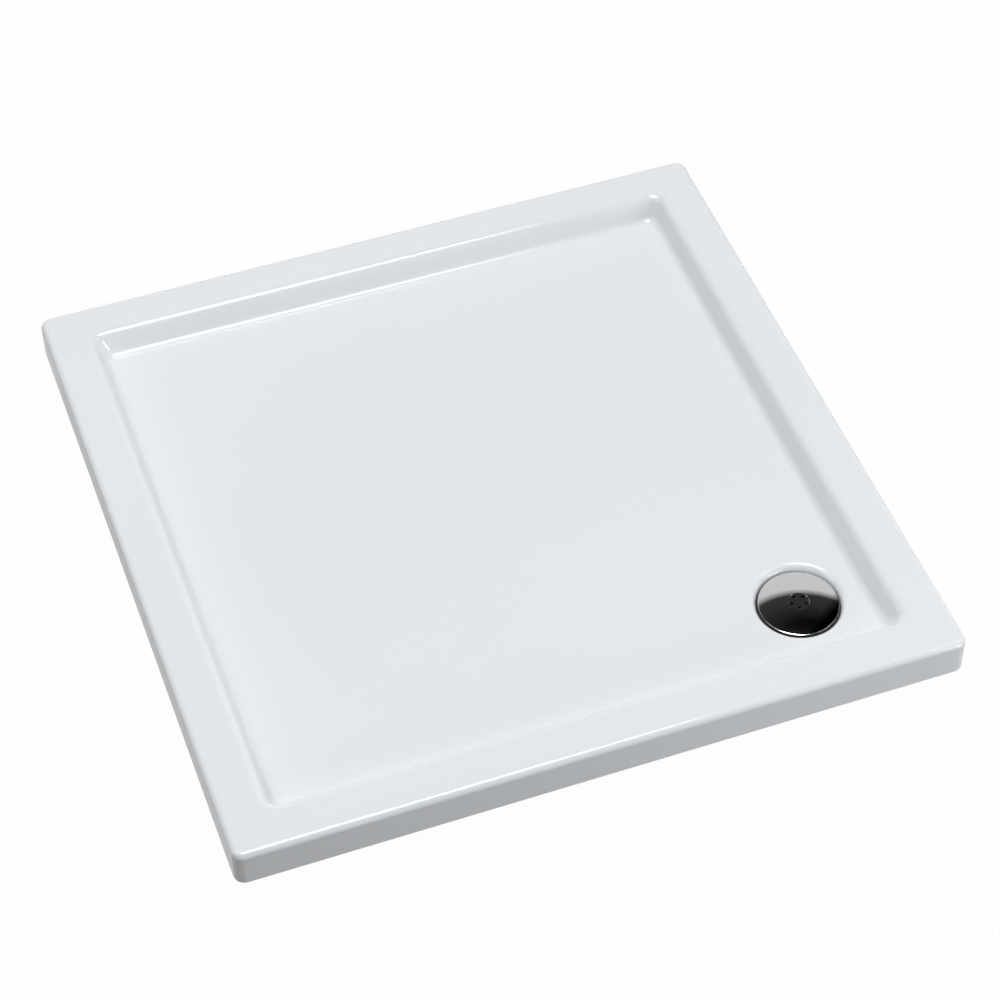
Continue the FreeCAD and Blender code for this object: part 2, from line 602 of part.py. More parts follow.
def seal_cup():
    """Cup round the end of the dip tube. Its ribs clip on the tube."""
    inner = CUP_RADIUS - CUP_WALL
    body = turned([(0, CUP_LOW), (CUP_RADIUS - 4.0, CUP_LOW), (CUP_RADIUS, CUP_LOW + 4.0), (CUP_RADIUS, CUP_RIM_Z),
                   (inner, CUP_RIM_Z), (inner, CUP_LOW + 4.5), (inner - 2.5, CUP_LOW + CUP_WALL),
                   (0, CUP_LOW + CUP_WALL)])
    clip = TUBE_OUTER + LOOSE_FIT
    low = TUBE_END + 3.0
    high = CUP_RIM_Z - 2.0
    rib = fin([(clip, low), (inner + 0.5, low), (inner + 0.5, high), (clip, high)], CUP_RIB)
    body = body.fuse(round_the_axis(rib, CUP_RIBS) + [ring(clip + 1.5, clip, high - 8.0, high)])
    return at_drain(body.removeSplitter())


# ---------------------------------------------------------------- cover cap
def dome_z(radius, top):
    """Height of the dome's outside at a radius."""
    return top - DOME_RADIUS + math.sqrt(DOME_RADIUS ** 2 - radius ** 2)


def cap_cover():
    """Shallow dome with a turned-down rim, a sunk disc with holes, and a collar below for the holder."""
    edge = CAP_RADIUS - CAP_ROUND
    edge_z = dome_z(edge, CAP_TOP)
    shoulder_z = edge_z - CAP_ROUND
    mid = (DISC_RADIUS + edge) / 2.0
    disc_z = CAP_TOP - DISC_DEPTH
    inner = CAP_RADIUS - CAP_WALL
    under = CAP_TOP - CAP_WALL
    rim_low = min(edge_z - CAP_RIM, dome_z(inner, under) - 0.2)
    boss = DISC_RADIUS + 1.5
    mid_under = (boss + inner) / 2.0
    bend_cut = CAP_ROUND * ROUND_SHARE
    body = turned([(0, disc_z), (DISC_RADIUS - 0.4, disc_z), (DISC_RADIUS, dome_z(DISC_RADIUS, CAP_TOP)),
                   ((mid, dome_z(mid, CAP_TOP)), (edge, edge_z)),
                   ((CAP_RADIUS - bend_cut, edge_z - bend_cut), (CAP_RADIUS, shoulder_z)),
                   (CAP_RADIUS, rim_low), (inner, rim_low), (inner, dome_z(inner, under)),
                   ((mid_under, dome_z(mid_under, under)), (boss, dome_z(boss, under))),
                   (boss - 0.8, CAP_BOSS_LOW), (CAP_COLLAR_RADIUS, CAP_BOSS_LOW),
                   (CAP_COLLAR_RADIUS, CAP_BOSS_LOW - CAP_COLLAR),
                   (HOLDER_HUB + LOOSE_FIT, CAP_BOSS_LOW - CAP_COLLAR), (HOLDER_HUB + LOOSE_FIT, CAP_BOSS_LOW),
                   (0, CAP_BOSS_LOW)])
    hole = rod(DISC_HOLE_RADIUS, CAP_BOSS_LOW - 1.0, CAP_TOP + 1.0, (DISC_HOLE_CIRCLE, 0.0))
    for one in round_the_axis(hole, DISC_HOLES, (0.0, 0.0), 180.0 / DISC_HOLES):
        body = body.cut(one)
    return at_drain(body)


def cap_holder():
    """Star of fins under the cap. They stand on the insert's flange and plug into its tube."""
    top = CAP_BOSS_LOW - CAP_COLLAR - 0.5
    low = INSERT_TOP - HOLDER_PLUG
    plug = TUBE_RADIUS - HOLDER_GAP
    cone_low = INSERT_TOP - FUNNEL_DROP
    hub = rod(HOLDER_HUB, low, CAP_BOSS_LOW)
    outline = [(HOLDER_HUB - 1.0, low), (plug - 1.5, low), (plug, low + 3.0), (plug, cone_low),
               (INSERT_FLAT - HOLDER_GAP, INSERT_TOP), (HOLDER_REACH, INSERT_TOP), (HOLDER_REACH, top - 3.0),
               (HOLDER_REACH - 4.0, top), (HOLDER_HUB - 1.0, top)]
    return at_drain(hub.fuse(round_the_axis(fin(outline, HOLDER_FIN), HOLDER_FINS)).removeSplitter())


# ---------------------------------------------------------------- writing the pieces
def tray_pieces():
    drain_hole = rod(DRAIN_HOLE, MOULD_BASE, FLOOR, DRAIN)
    visible = tray_mould(0.0)
    under_shell = tray_mould(SHELL)
    under_laminate = tray_mould(SKIN, BOARD_TOP)
    shell = visible.cut(under_shell).cut(below(APRON_LOW)).cut(drain_hole)
    laminate = under_shell.cut(under_laminate).cut(below(APRON_LOW + LAMINATE_SHORT)).cut(drain_hole)
    pieces = {"tray_shell": shell, "reinforcement_laminate": laminate, "base_board": base_board()}
    for side, batten in rim_battens().items():
        pieces["rim_batten_" + side] = batten
    return pieces


def foot_pieces():
    pieces = {}
    for name, place in FOOT_PLACES.items():
        pieces["foot_socket_" + name] = foot_socket(place)
        pieces["foot_stud_" + name] = foot_stud(place)
        pieces["foot_pad_" + name] = foot_pad(place)
    pieces["foot_lock_nuts"] = Part.makeCompound([lock_nut(place) for place in FOOT_PLACES.values()])
    pieces["socket_screws"] = Part.makeCompound([wood_screw(place) for place in wood_screw_places()])
    return pieces


def waste_pieces():
    screws = round_the_axis(clamp_screw(), CLAMP_SCREWS, DRAIN, 45.0)
    return {
        "waste_clamp_ring": clamp_ring(),
        "waste_clamp_screws": Part.makeCompound(screws),
        "waste_upper_gasket": ring(CLAMP_RADIUS, DRAIN_HOLE, SEAT, CLAMP_LOW, DRAIN),
        "waste_lower_gasket": ring(CLAMP_RADIUS, NECK_RADIUS + LOOSE_FIT, FLANGE_TOP, SUMP_UNDER, DRAIN),
        "trap_body": trap_body(),
        "outlet_slip_nut": slip_nut(),
        "outlet_cone_seal": cone_seal(),
        "outlet_elbow": outlet_elbow(),
        "insert_dip_tube": dip_tube(),
        "insert_seal_ring": seal_ring(),
        "insert_seal_cup": seal_cup(),
        "cap_cover": cap_cover(),
        "cap_holder": cap_holder(),
    }


def main():
    os.makedirs("parts", exist_ok=True)
    pieces = {**tray_pieces(), **foot_pieces(), **waste_pieces()}
    for name, shape in pieces.items():
        state = "ok" if shape.isValid() else "NOT VALID"
        print(f"{name:28s} {state} solids {len(shape.Solids)} volume {shape.Volume / 1000.0:.1f} cm3")
        shape.exportStep(f"parts/{name}.step")


main()
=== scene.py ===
import json
import math

import bmesh
import bpy
from mathutils import Matrix, Vector


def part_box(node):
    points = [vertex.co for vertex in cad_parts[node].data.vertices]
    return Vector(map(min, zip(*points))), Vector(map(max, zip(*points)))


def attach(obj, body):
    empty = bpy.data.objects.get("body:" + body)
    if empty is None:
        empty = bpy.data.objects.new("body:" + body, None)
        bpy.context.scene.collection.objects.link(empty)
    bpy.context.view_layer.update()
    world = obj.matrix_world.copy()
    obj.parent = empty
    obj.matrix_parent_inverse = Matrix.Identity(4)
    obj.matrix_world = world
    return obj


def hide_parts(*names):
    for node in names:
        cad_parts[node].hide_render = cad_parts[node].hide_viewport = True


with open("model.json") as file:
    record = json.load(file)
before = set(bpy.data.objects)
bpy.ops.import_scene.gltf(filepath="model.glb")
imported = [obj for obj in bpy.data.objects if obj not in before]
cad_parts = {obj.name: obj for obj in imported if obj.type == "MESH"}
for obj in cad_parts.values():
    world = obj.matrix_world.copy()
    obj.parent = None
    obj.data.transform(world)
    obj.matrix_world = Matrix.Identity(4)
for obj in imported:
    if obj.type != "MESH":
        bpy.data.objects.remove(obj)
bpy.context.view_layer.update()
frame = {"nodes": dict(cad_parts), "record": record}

# Looks of a square acrylic shower tray with its waste and feet. Metres, +Z up, front at -Y.

# ---------------- sizes
MM = 0.001

# Places that follow the frame
SHELL_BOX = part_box("tray_shell")
CAP_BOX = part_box("cap_cover")
GASKET_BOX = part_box("waste_upper_gasket")
HALF_X = SHELL_BOX[1].x
HALF_Y = SHELL_BOX[1].y
RIM_TOP = SHELL_BOX[1].z
APRON_LOW = SHELL_BOX[0].z
SEAT = GASKET_BOX[0].z
DRAIN_X = (CAP_BOX[0].x + CAP_BOX[1].x) / 2
DRAIN_Y = (CAP_BOX[0].y + CAP_BOX[1].y) / 2
CAP_TOP = CAP_BOX[1].z

# Tray shell
SHELL = 4 * MM
PLAN_CORNER = 14 * MM
TOP_EDGE = 8 * MM
RIM_WIDTH = 56 * MM
LIP_ROUND = 12 * MM
WALL_TILT = 24.5                         # basin wall's lean from upright, in degrees
WALL_ANGLE = math.radians(90 - WALL_TILT)
WALL_SLOPE = math.tan(math.radians(WALL_TILT))
COVE_ROUND = 11 * MM
BASIN_CORNER = 14 * MM
FLOOR_FALL = 0.004
SUMP_RADIUS = 51.25 * MM
SUMP_DEPTH = 15 * MM
SUMP_EDGE = 11 * MM                      # the roll into the sump is this wide
SUMP_EDGE_FALL = 12.8 * MM               # and this deep
SUMP_COVE = 1.75 * MM
LEVEL_RING = 6 * MM
GASKET_LIP = 6.5 * MM
GASKET_GAP = 0.3 * MM                    # from the lip to the sump's wall
GASKET_SIDES = 96
DRAIN_HOLE = 45 * MM
FLOOR = SEAT + SUMP_DEPTH
ROLL_SHARE = math.tan(WALL_ANGLE / 2)    # tangent length of a roll between level and wall, over its radius
FLOOR_INSET = RIM_WIDTH + (RIM_TOP - FLOOR) * WALL_SLOPE + COVE_ROUND * ROLL_SHARE
FLOOR_CORNER = BASIN_CORNER - COVE_ROUND * ROLL_SHARE
SUPPORT = 1.2 * MM                       # distance of the loops that keep flats flat beside a roll
LOWER_EDGE = 0.5 * MM                    # the outside ends this far over the inside
CORNER_STEPS = 14
VIEW_STEP = math.radians(1.8)            # widest step along a side, as seen from the drain
SIDE_STEP = 24 * MM
FLOOR_SHARES = [0.004, 0.02, 0.06, 0.12, 0.2, 0.3, 0.4, 0.5, 0.6, 0.7, 0.78, 0.85, 0.91, 0.95, 0.975, 0.99, 1.0]

# Cover cap
CAP_RADIUS = (CAP_BOX[1].x - CAP_BOX[0].x) / 2
CAP_RISE = 4.25 * MM
CAP_WALL = 1.6 * MM
CAP_ROUND = 0.4 * MM
CAP_RIM = 1.74 * MM                      # the rim's height below the dome's edge
CAP_UNDERCUT = 1 * MM                    # the rim leans in by this much
DISC_RADIUS = 13 * MM
DISC_DEPTH = 0.8 * MM
DISC_HOLE_RADIUS = 2 * MM
DISC_HOLE_CIRCLE = 9.25 * MM
DISC_HOLES = 5
DISC_ROWS = [2 * MM, 6.5 * MM, 11.8 * MM]
CAP_COLLAR_RADIUS = 6.6 * MM
CAP_COLLAR = 3 * MM
CAP_BOSS = 1.4 * MM
HOLDER_HUB = 5.15 * MM
CAP_SIDES = 144
DOME_RADIUS = (CAP_RADIUS ** 2 + CAP_RISE ** 2) / (2 * CAP_RISE)

# Feet
FEET = ["front_left", "back_left", "back_right", "centre", "drain_left", "drain_back"]
STUD_RADIUS = 6 * MM
THREAD_PITCH = 1.75 * MM
THREAD_DEPTH = 0.85 * MM
THREAD_START = 0.4 * MM                  # gap over the collar
THREAD_END = 1.6 * MM                    # gap under the stud's top
THREAD_STEPS = 24                        # per turn
RIDGE_OUT = 0.12                         # of the thread's depth, from core to ridge's middle
RIDGE_RADIUS = 0.86                      # of the thread's depth
COLLAR_FLATS = 17 * MM
COLLAR_HEIGHT = 7 * MM
NUT_FLATS = 19 * MM
NUT_HEIGHT = 7 * MM
HEX_BALL_RADIUS = 0.585                  # of the flats, for the ball that rounds a hexagon's corners
HEX_BALL_HEIGHT = 1.25                   # of the hexagon's height
PAD_RADIUS = 27 * MM
PAD_EDGE = 4 * MM
PAD_HEIGHT = 12 * MM
PAD_TOP_RADIUS = 13 * MM
PAD_RIBS = 12
PAD_RIB_WIDTH = 1.6 * MM
PAD_TOP_RIB = (12.5 * MM, 1.5 * MM)      # length and height
PAD_LOW_RIB = (17 * MM, 2.3 * MM)
PAD_LOW_RIB_OUT = 15.5 * MM              # from the pad's axis to the rib's middle
PAD_LOW_RIB_Z = 1.35 * MM
PAD_SIDES = 72
PAD_LIP = 2.2 * MM
PAD_HOLLOW = 2.4 * MM
PAD_LOW_ROUND = 1.4 * MM

# Screws, with the radius of head and shank
WOOD_SCREW_OUT = 22.5 * MM               # from the foot's axis, along X and along Y
WOOD_HEAD = 4 * MM
WOOD_SHANK = 2 * MM
WOOD_HEAD_HEIGHT = 2.4 * MM
CLAMP_SCREWS = 4
CLAMP_SCREW_CIRCLE = 39.3 * MM
CLAMP_HEAD = 4.7 * MM
CLAMP_SHANK = 2.5 * MM
WOOD_HEAD_BALL = 1.06                    # of the head's radius
RECESS_LENGTH = 1.15                     # of the head's radius
RECESS_WIDTH = 0.26
WOOD_RECESS = 2.6 * MM                   # height of its bars, half of it in the head
CLAMP_RECESS = 2.8 * MM


# ---------------- mesh helpers
SLOTS = {row["node"]: row["material_slot"] for row in frame["record"]["subparts"]}
BODIES = {node: body for body, nodes in frame["record"]["behaviour"]["bodies"].items() for node in nodes}


def new_piece(name, mesh, node):
    """Links a finished mesh as a piece that stands for a node, on that node's body and in its finish."""
    piece = bpy.data.objects.new(name, mesh)
    bpy.context.scene.collection.objects.link(piece)
    mesh.materials.clear()
    mesh.materials.append(finish_of(node))
    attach(piece, BODIES[node])
    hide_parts(node)


def shade(mesh, crease):
    """Smooth faces, with edges sharper than the crease, in degrees, kept sharp."""
    work = bmesh.new()
    work.from_mesh(mesh)
    for face in work.faces:
        face.smooth = True
    for edge in work.edges:
        edge.smooth = edge.is_manifold and edge.calc_face_angle(0.0) < math.radians(crease)
    work.to_mesh(mesh)
    work.free()


def mesh_from_rings(name, rings, close_ends=False):
    """Quads between rings of equally many points. The last ring joins the first unless the ends are closed."""
    count = len(rings[0])
    points = [point for ring in rings for point in ring]
    faces = []
    pairs = len(rings) - 1 if close_ends else len(rings)
    for level in range(pairs):
        low = level * count
        high = (level + 1) % len(rings) * count
        for index in range(count):
            after = (index + 1) % count
            faces.append((low + index, low + after, high + after, high + index))
    if close_ends:
        last = (len(rings) - 1) * count
        faces.append(tuple(reversed(range(count))))
        faces.append(tuple(last + index for index in range(count)))
    mesh = bpy.data.meshes.new(name)
    mesh.from_pydata(points, [], faces)
    mesh.update()
    return mesh


def face_outwards(mesh):
    """Joins points that coincide, and turns the faces outwards."""
    work = bmesh.new()
    work.from_mesh(mesh)
    bmesh.ops.remove_doubles(work, verts=work.verts, dist=1e-6)
    bmesh.ops.recalc_face_normals(work, faces=work.faces)
    work.to_mesh(mesh)
    work.free()


def roll(steps, angle):
    """Angles of a roll, from none to the full turn."""
    return [angle * step / steps for step in range(steps + 1)]


def turned_mesh(name, profile, place, sides, solid=True):
    """Turns a profile of (radius, z) round an upright axis, as a solid or as a ring."""
    x, y = place
    turns = roll(sides, 2 * math.pi)[:-1]
    rings = [[(x + radius * math.cos(turn), y + radius * math.sin(turn), z) for turn in turns]
             for radius, z in profile]
    mesh = mesh_from_rings(name, rings, solid)
    face_outwards(mesh)
    return mesh


# ---------------- the tray shell
class Outline:
    """Places round a rectangle with round corners, given by side and share along it. The shares are packed
    so that they are also even as seen from the drain, because the floor's rows end on the sump's circle."""

    def __init__(self):
        half_x = HALF_X - FLOOR_INSET
        half_y = HALF_Y - FLOOR_INSET
        reach_x = half_x - FLOOR_CORNER
        reach_y = half_y - FLOOR_CORNER
        sides = [(reach_y, DRAIN_Y, half_x - DRAIN_X), (reach_x, -DRAIN_X, half_y - DRAIN_Y),
                 (reach_y, -DRAIN_Y, half_x + DRAIN_X), (reach_x, DRAIN_X, half_y + DRAIN_Y)]
        self.marks = []
        for side, (reach, foot, distance) in enumerate(sides):
            for share in self.side_shares(reach, foot, distance):
                self.marks.append((side, share, None))
            for step in range(1, CORNER_STEPS):
                self.marks.append((side, 1.0, math.pi / 2 * step / CORNER_STEPS))

    @staticmethod
    def side_shares(reach, foot, distance):
        """Even steps as seen from the drain, whose foot on the side is given, and none too long."""
        start = math.atan2(-reach - foot, distance)
        end = math.atan2(reach - foot, distance)
        count = math.ceil((end - start) / VIEW_STEP)
        places = [foot + distance * math.tan(start + turn) for turn in roll(count, end - start)]
        finer = [places[0]]
        for place in places[1:]:
            parts = math.ceil((place - finer[-1]) / SIDE_STEP)
            begin = finer[-1]
            finer += [begin + (place - begin) * part / parts for part in range(1, parts + 1)]
        return [(place + reach) / (2 * reach) for place in finer]

    @staticmethod
    def place(mark, half_x, half_y, radius):
        """Where a mark lies on a rectangle of these half sides and corner radius."""
        side, share, turn = mark
        along, across = (half_y, half_x) if side % 2 == 0 else (half_x, half_y)
        if turn is None:
            x = across
            y = (along - radius) * (2 * share - 1)
        else:
            x = across - radius + radius * math.cos(turn)
            y = along - radius + radius * math.sin(turn)
        for _ in range(side):
            x, y = -y, x
        return x, y


def floor_height(x, y):
    """Level beside the sump, and rising evenly from there."""
    run = math.hypot(x - DRAIN_X, y - DRAIN_Y) - (SUMP_RADIUS + SUMP_EDGE + LEVEL_RING)
    return FLOOR + FLOOR_FALL * max(run, 0.0)


def flat_rows(outline, offset):
    """Apron, top edge, rim and lip: rows of one height each, from the apron's lower edge inwards."""
    top = RIM_TOP - offset
    edge = TOP_EDGE - offset
    lip = LIP_ROUND - offset
    corner = PLAN_CORNER - offset
    rows = [(0.0, APRON_LOW + (LOWER_EDGE if offset == 0 else 0.0), corner)]
    rows += [(0.0, APRON_LOW + 3 * MM, corner), (0.0, top - edge - SUPPORT, corner)]
    for angle in roll(10, math.pi / 2):
        inset = edge * (1 - math.cos(angle))
        rows.append((inset, top - edge + edge * math.sin(angle), max(corner - inset, 0.2 * MM)))
    wall_top = RIM_WIDTH - offset - offset * (1 / math.cos(math.pi / 2 - WALL_ANGLE) - WALL_SLOPE)
    lip_start = wall_top - lip * ROLL_SHARE
    basin_corner = BASIN_CORNER + offset
    start_corner = basin_corner + lip * ROLL_SHARE
    rim_corner = max(corner - edge, 0.2 * MM)
    for share in (0.03, 0.5, 0.97):
        inset = edge + (lip_start - edge) * share
        rows.append((inset, top, rim_corner + (start_corner - rim_corner) * share))
    for angle in roll(16, WALL_ANGLE):
        inset = lip_start + lip * math.sin(angle)
        height = top - lip * (1 - math.cos(angle))
        on_wall = wall_top + (top - height) * WALL_SLOPE
        rows.append((inset, height, basin_corner + on_wall - inset))
    made = []
    for inset, height, radius in rows:
        half_x = HALF_X - offset - inset
        half_y = HALF_Y - offset - inset
        made.append([(*outline.place(mark, half_x, half_y, radius), height) for mark in outline.marks])
    return made, wall_top, basin_corner


def cove_rows(outline, offset, wall_top, basin_corner):
    """Basin wall and cove, which follow the falling floor, and then the floor down to the sump."""
    cove = COVE_ROUND + offset
    top = RIM_TOP - offset
    angles = list(reversed(roll(16, WALL_ANGLE)))
    columns = []
    for mark in outline.marks:
        level = FLOOR - offset
        for _ in range(3):  # the level at the wall's foot settles
            foot = wall_top + (top - level) * WALL_SLOPE
            inset = foot + cove * ROLL_SHARE
            radius = basin_corner - cove * ROLL_SHARE
            spot = outline.place(mark, HALF_X - offset - inset, HALF_Y - offset - inset, radius)
            level = floor_height(*spot) - offset
        column = []
        for angle in angles:
            height = level + cove * (1 - math.cos(angle))
            here = inset - cove * math.sin(angle)
            on_wall = wall_top + (top - height) * WALL_SLOPE
            corner = basin_corner - (here - on_wall)
            place = outline.place(mark, HALF_X - offset - here, HALF_Y - offset - here, corner)
            column.append((*place, height))
        columns.append(column)
    rows = [[column[step] for column in columns] for step in range(len(angles))]
    edge_radius = SUMP_RADIUS + SUMP_EDGE
    for share in FLOOR_SHARES:
        row = []
        for x, y, _ in rows[len(angles) - 1]:
            reach = math.hypot(x - DRAIN_X, y - DRAIN_Y)
            factor = 1 + (edge_radius / reach - 1) * share
            spot = (DRAIN_X + (x - DRAIN_X) * factor, DRAIN_Y + (y - DRAIN_Y) * factor)
            row.append((*spot, floor_height(*spot) - offset))
        rows.append(row)
    return rows


def sump_rows(outline, offset):
    """Roll into the sump, its wall, cove and seat, as circles round the drain."""
    edge = SUMP_EDGE - offset
    fall = SUMP_EDGE_FALL - offset
    wall = SUMP_RADIUS + offset
    cove = SUMP_COVE + offset
    floor = FLOOR - offset
    seat = SEAT - offset
    circles = []
    for angle in roll(12, math.pi / 2)[1:]:
        circles.append((wall + edge - edge * math.sin(angle), floor - fall + fall * math.cos(angle)))
    circles.append((wall, (floor - fall + seat + cove) / 2))
    for angle in roll(8, math.pi / 2):
        circles.append((wall - cove + cove * math.cos(angle), seat + cove - cove * math.sin(angle)))
    circles += [(wall - cove - 0.6 * MM, seat), (DRAIN_HOLE, seat)]
    headings = sump_directions(outline)
    return [[(DRAIN_X + radius * x, DRAIN_Y + radius * y, height) for x, y in headings]
            for radius, height in circles]


def sump_directions(outline):
    """Headings from the drain to the points of the floor's outer row."""
    directions = []
    for mark in outline.marks:
        x, y = outline.place(mark, HALF_X - FLOOR_INSET, HALF_Y - FLOOR_INSET, FLOOR_CORNER)
        reach = math.hypot(x - DRAIN_X, y - DRAIN_Y)
        directions.append(((x - DRAIN_X) / reach, (y - DRAIN_Y) / reach))
    return directions


def tray_shell():
    """Moulded shell as one closed skin: outside from the apron to the drain hole, and back below."""
    outline = Outline()
    sides = []
    for offset in (0.0, SHELL):
        rows, wall_top, basin_corner = flat_rows(outline, offset)
        rows += cove_rows(outline, offset, wall_top, basin_corner)
        rows += sump_rows(outline, offset)
        sides.append(rows)
    mesh = mesh_from_rings("tray_shell_skin", sides[0] + list(reversed(sides[1])))
    face_outwards(mesh)
    shade(mesh, 40)
    new_piece("acrylic_shell", mesh, "tray_shell")


# ---------------- geometry node helpers
class Grower:
    """A Geometry Nodes tree with named sizes. Its nodes are added one by one, each with what feeds it."""

    def __init__(self, name, sizes):
        self.name = name
        self.sizes = sizes
        self.tree = bpy.data.node_groups.new(name, "GeometryNodeTree")
        sockets = self.tree.interface
        sockets.new_socket("Geometry", in_out="INPUT", socket_type="NodeSocketGeometry")
        for size, value in sizes.items():
            kind = "NodeSocketInt" if isinstance(value, int) else "NodeSocketFloat"
            sockets.new_socket(size, in_out="INPUT", socket_type=kind)
        sockets.new_socket("Geometry", in_out="OUTPUT", socket_type="NodeSocketGeometry")
        self.given = self.tree.nodes.new("NodeGroupInput").outputs

    def add(self, kind, feeds=(), **settings):
        """Adds a node. feeds gives its sockets, by name or number, a value, output or list of outputs."""
        node = self.tree.nodes.new(kind)
        for setting, value in settings.items():
            setattr(node, setting, value)
        for socket, feed in dict(feeds).items():
            if isinstance(feed, (list, bpy.types.NodeSocket)):
                for output in feed if isinstance(feed, list) else [feed]:
                    self.tree.links.new(output, node.inputs[socket])
            else:
                node.inputs[socket].default_value = feed
        return node.outputs

    def calc(self, operation, first, second):
        return self.add("ShaderNodeMath", {0: first, 1: second}, operation=operation)["Value"]

    def vector(self, x=0.0, y=0.0, z=0.0):
        return self.add("ShaderNodeCombineXYZ", {"X": x, "Y": y, "Z": z})["Vector"]

    def moved(self, geometry, x=0.0, y=0.0, z=0.0, turn=(0.0, 0.0, 0.0)):
        feeds = {"Geometry": geometry, "Translation": self.vector(x, y, z), "Rotation": turn}
        return self.add("GeometryNodeTransform", feeds)["Geometry"]

    def cylinder(self, radius, depth, sides):
        feeds = {"Vertices": sides, "Radius": radius, "Depth": depth}
        return self.add("GeometryNodeMeshCylinder", feeds)["Mesh"]

    def frustum(self, top, bottom, depth, sides):
        feeds = {"Vertices": sides, "Radius Top": top, "Radius Bottom": bottom, "Depth": depth}
        return self.add("GeometryNodeMeshCone", feeds)["Mesh"]

    def block(self, x, y, z):
        return self.add("GeometryNodeMeshCube", {"Size": self.vector(x, y, z)})["Mesh"]

    def flat_ball(self, width, height, sides, rings):
        """Ball with one radius across and another upright."""
        ball = self.add("GeometryNodeMeshUVSphere", {"Segments": sides, "Rings": rings, "Radius": 1.0})["Mesh"]
        feeds = {"Geometry": ball, "Scale": self.vector(width, width, height)}
        return self.add("GeometryNodeTransform", feeds)["Geometry"]

    def cut(self, body, *tools):
        feeds = {"Mesh 1": body, "Mesh 2": list(tools)}
        return self.add("GeometryNodeMeshBoolean", feeds, operation="DIFFERENCE", solver="EXACT")["Mesh"]

    def common(self, *bodies):
        feeds = {"Mesh 2": list(bodies)}
        return self.add("GeometryNodeMeshBoolean", feeds, operation="INTERSECT", solver="EXACT")["Mesh"]

    def joined(self, *parts):
        return self.add("GeometryNodeJoinGeometry", {"Geometry": list(reversed(parts))})["Geometry"]

    def round_the_axis(self, shape, count, radius):
        """Copies of a shape made for +X, moved out by a radius and turned round the upright axis."""
        circle = self.add("GeometryNodeMeshCircle", {"Vertices": count, "Radius": radius})["Mesh"]
        step = self.calc("DIVIDE", 2 * math.pi, count)
        turn = self.calc("MULTIPLY", self.add("GeometryNodeInputIndex")["Index"], step)
        feeds = {"Points": circle, "Instance": shape, "Rotation": self.vector(z=turn)}
        return self.add("GeometryNodeInstanceOnPoints", feeds)["Instances"]

    def on_points(self, shape):
        """A copy of the shape on each point that the tree is given."""
        feeds = {"Points": self.given["Geometry"], "Instance": shape}
        return self.add("GeometryNodeInstanceOnPoints", feeds)["Instances"]

    def grown(self, geometry, node, start):
        """Runs the tree on a starting mesh and gives a plain mesh in the node's finish."""
        plain = self.add("GeometryNodeRealizeInstances", {"Geometry": geometry})["Geometry"]
        feeds = {"Geometry": plain, "Material": finish_of(node)}
        dressed = self.add("GeometryNodeSetMaterial", feeds)["Geometry"]
        self.tree.links.new(dressed, self.tree.nodes.new("NodeGroupOutput").inputs["Geometry"])
        holder = bpy.data.objects.new(self.name, start)
        bpy.context.scene.collection.objects.link(holder)
        modifier = holder.modifiers.new(self.name, "NODES")
        modifier.node_group = self.tree
        for socket in self.tree.interface.items_tree:
            if socket.in_out == "INPUT" and socket.name in self.sizes:
                modifier[socket.identifier] = self.sizes[socket.name]
        drawn = holder.evaluated_get(bpy.context.evaluated_depsgraph_get())
        mesh = bpy.data.meshes.new_from_object(drawn)
        holder.modifiers.remove(modifier)
        bpy.data.objects.remove(holder)
        return mesh


def points_mesh(name, points):
    """Loose points that a tree grows its shapes on."""
    mesh = bpy.data.meshes.new(name)
    mesh.from_pydata(points, [], [])
    return mesh


# ---------------- cover cap
def dome_z(radius, top):
    """Height of the dome at a radius from its axis."""
    return top - DOME_RADIUS + math.sqrt(DOME_RADIUS ** 2 - radius ** 2)


def cap_profile():
    """Disc, step, dome, rolled edge, undercut rim, and back below to the collar for the holder."""
    edge = CAP_RADIUS - CAP_ROUND
    inner = CAP_RADIUS - CAP_WALL
    under = CAP_TOP - CAP_WALL
    disc_z = CAP_TOP - DISC_DEPTH
    lean = math.asin(edge / DOME_RADIUS)
    start = DISC_RADIUS + 0.05 * MM
    profile = [(radius, disc_z) for radius in DISC_ROWS + [DISC_RADIUS - 0.1 * MM]]
    profile += [(DISC_RADIUS, dome_z(start, CAP_TOP) - 0.05 * MM), (start, dome_z(start, CAP_TOP))]
    for step in range(1, 31):
        radius = start + (edge - start) * step / 30
        profile.append((radius, dome_z(radius, CAP_TOP)))
    middle = dome_z(edge, CAP_TOP) - CAP_ROUND * math.cos(lean)
    for turn in roll(8, math.pi / 2 - lean)[1:]:
        angle = lean + turn
        reach = edge - CAP_ROUND * (math.sin(lean) - math.sin(angle))
        profile.append((reach, middle + CAP_ROUND * math.cos(angle)))
    outer = profile[-1][0]
    low = CAP_TOP - CAP_RISE - CAP_RIM
    profile.append((outer - 0.1 * MM, profile[-1][1] - 0.25 * MM))
    profile += [(outer - CAP_UNDERCUT + 0.15 * MM, low + 0.05 * MM), (outer - CAP_UNDERCUT, low)]
    profile += [(inner + 0.2 * MM, low), (inner, low + 0.1 * MM)]
    for step in range(12):
        radius = inner + (DISC_RADIUS + 1.5 * MM - inner) * step / 11
        profile.append((radius, dome_z(radius, under)))
    boss = disc_z - CAP_BOSS
    foot = boss - CAP_COLLAR
    profile += [(DISC_RADIUS + 0.7 * MM, boss), (CAP_COLLAR_RADIUS, boss), (CAP_COLLAR_RADIUS, foot + 0.3 * MM)]
    profile += [(CAP_COLLAR_RADIUS - 0.3 * MM, foot), (HOLDER_HUB, foot), (HOLDER_HUB, boss)]
    profile.append((DISC_ROWS[0], boss))
    return profile


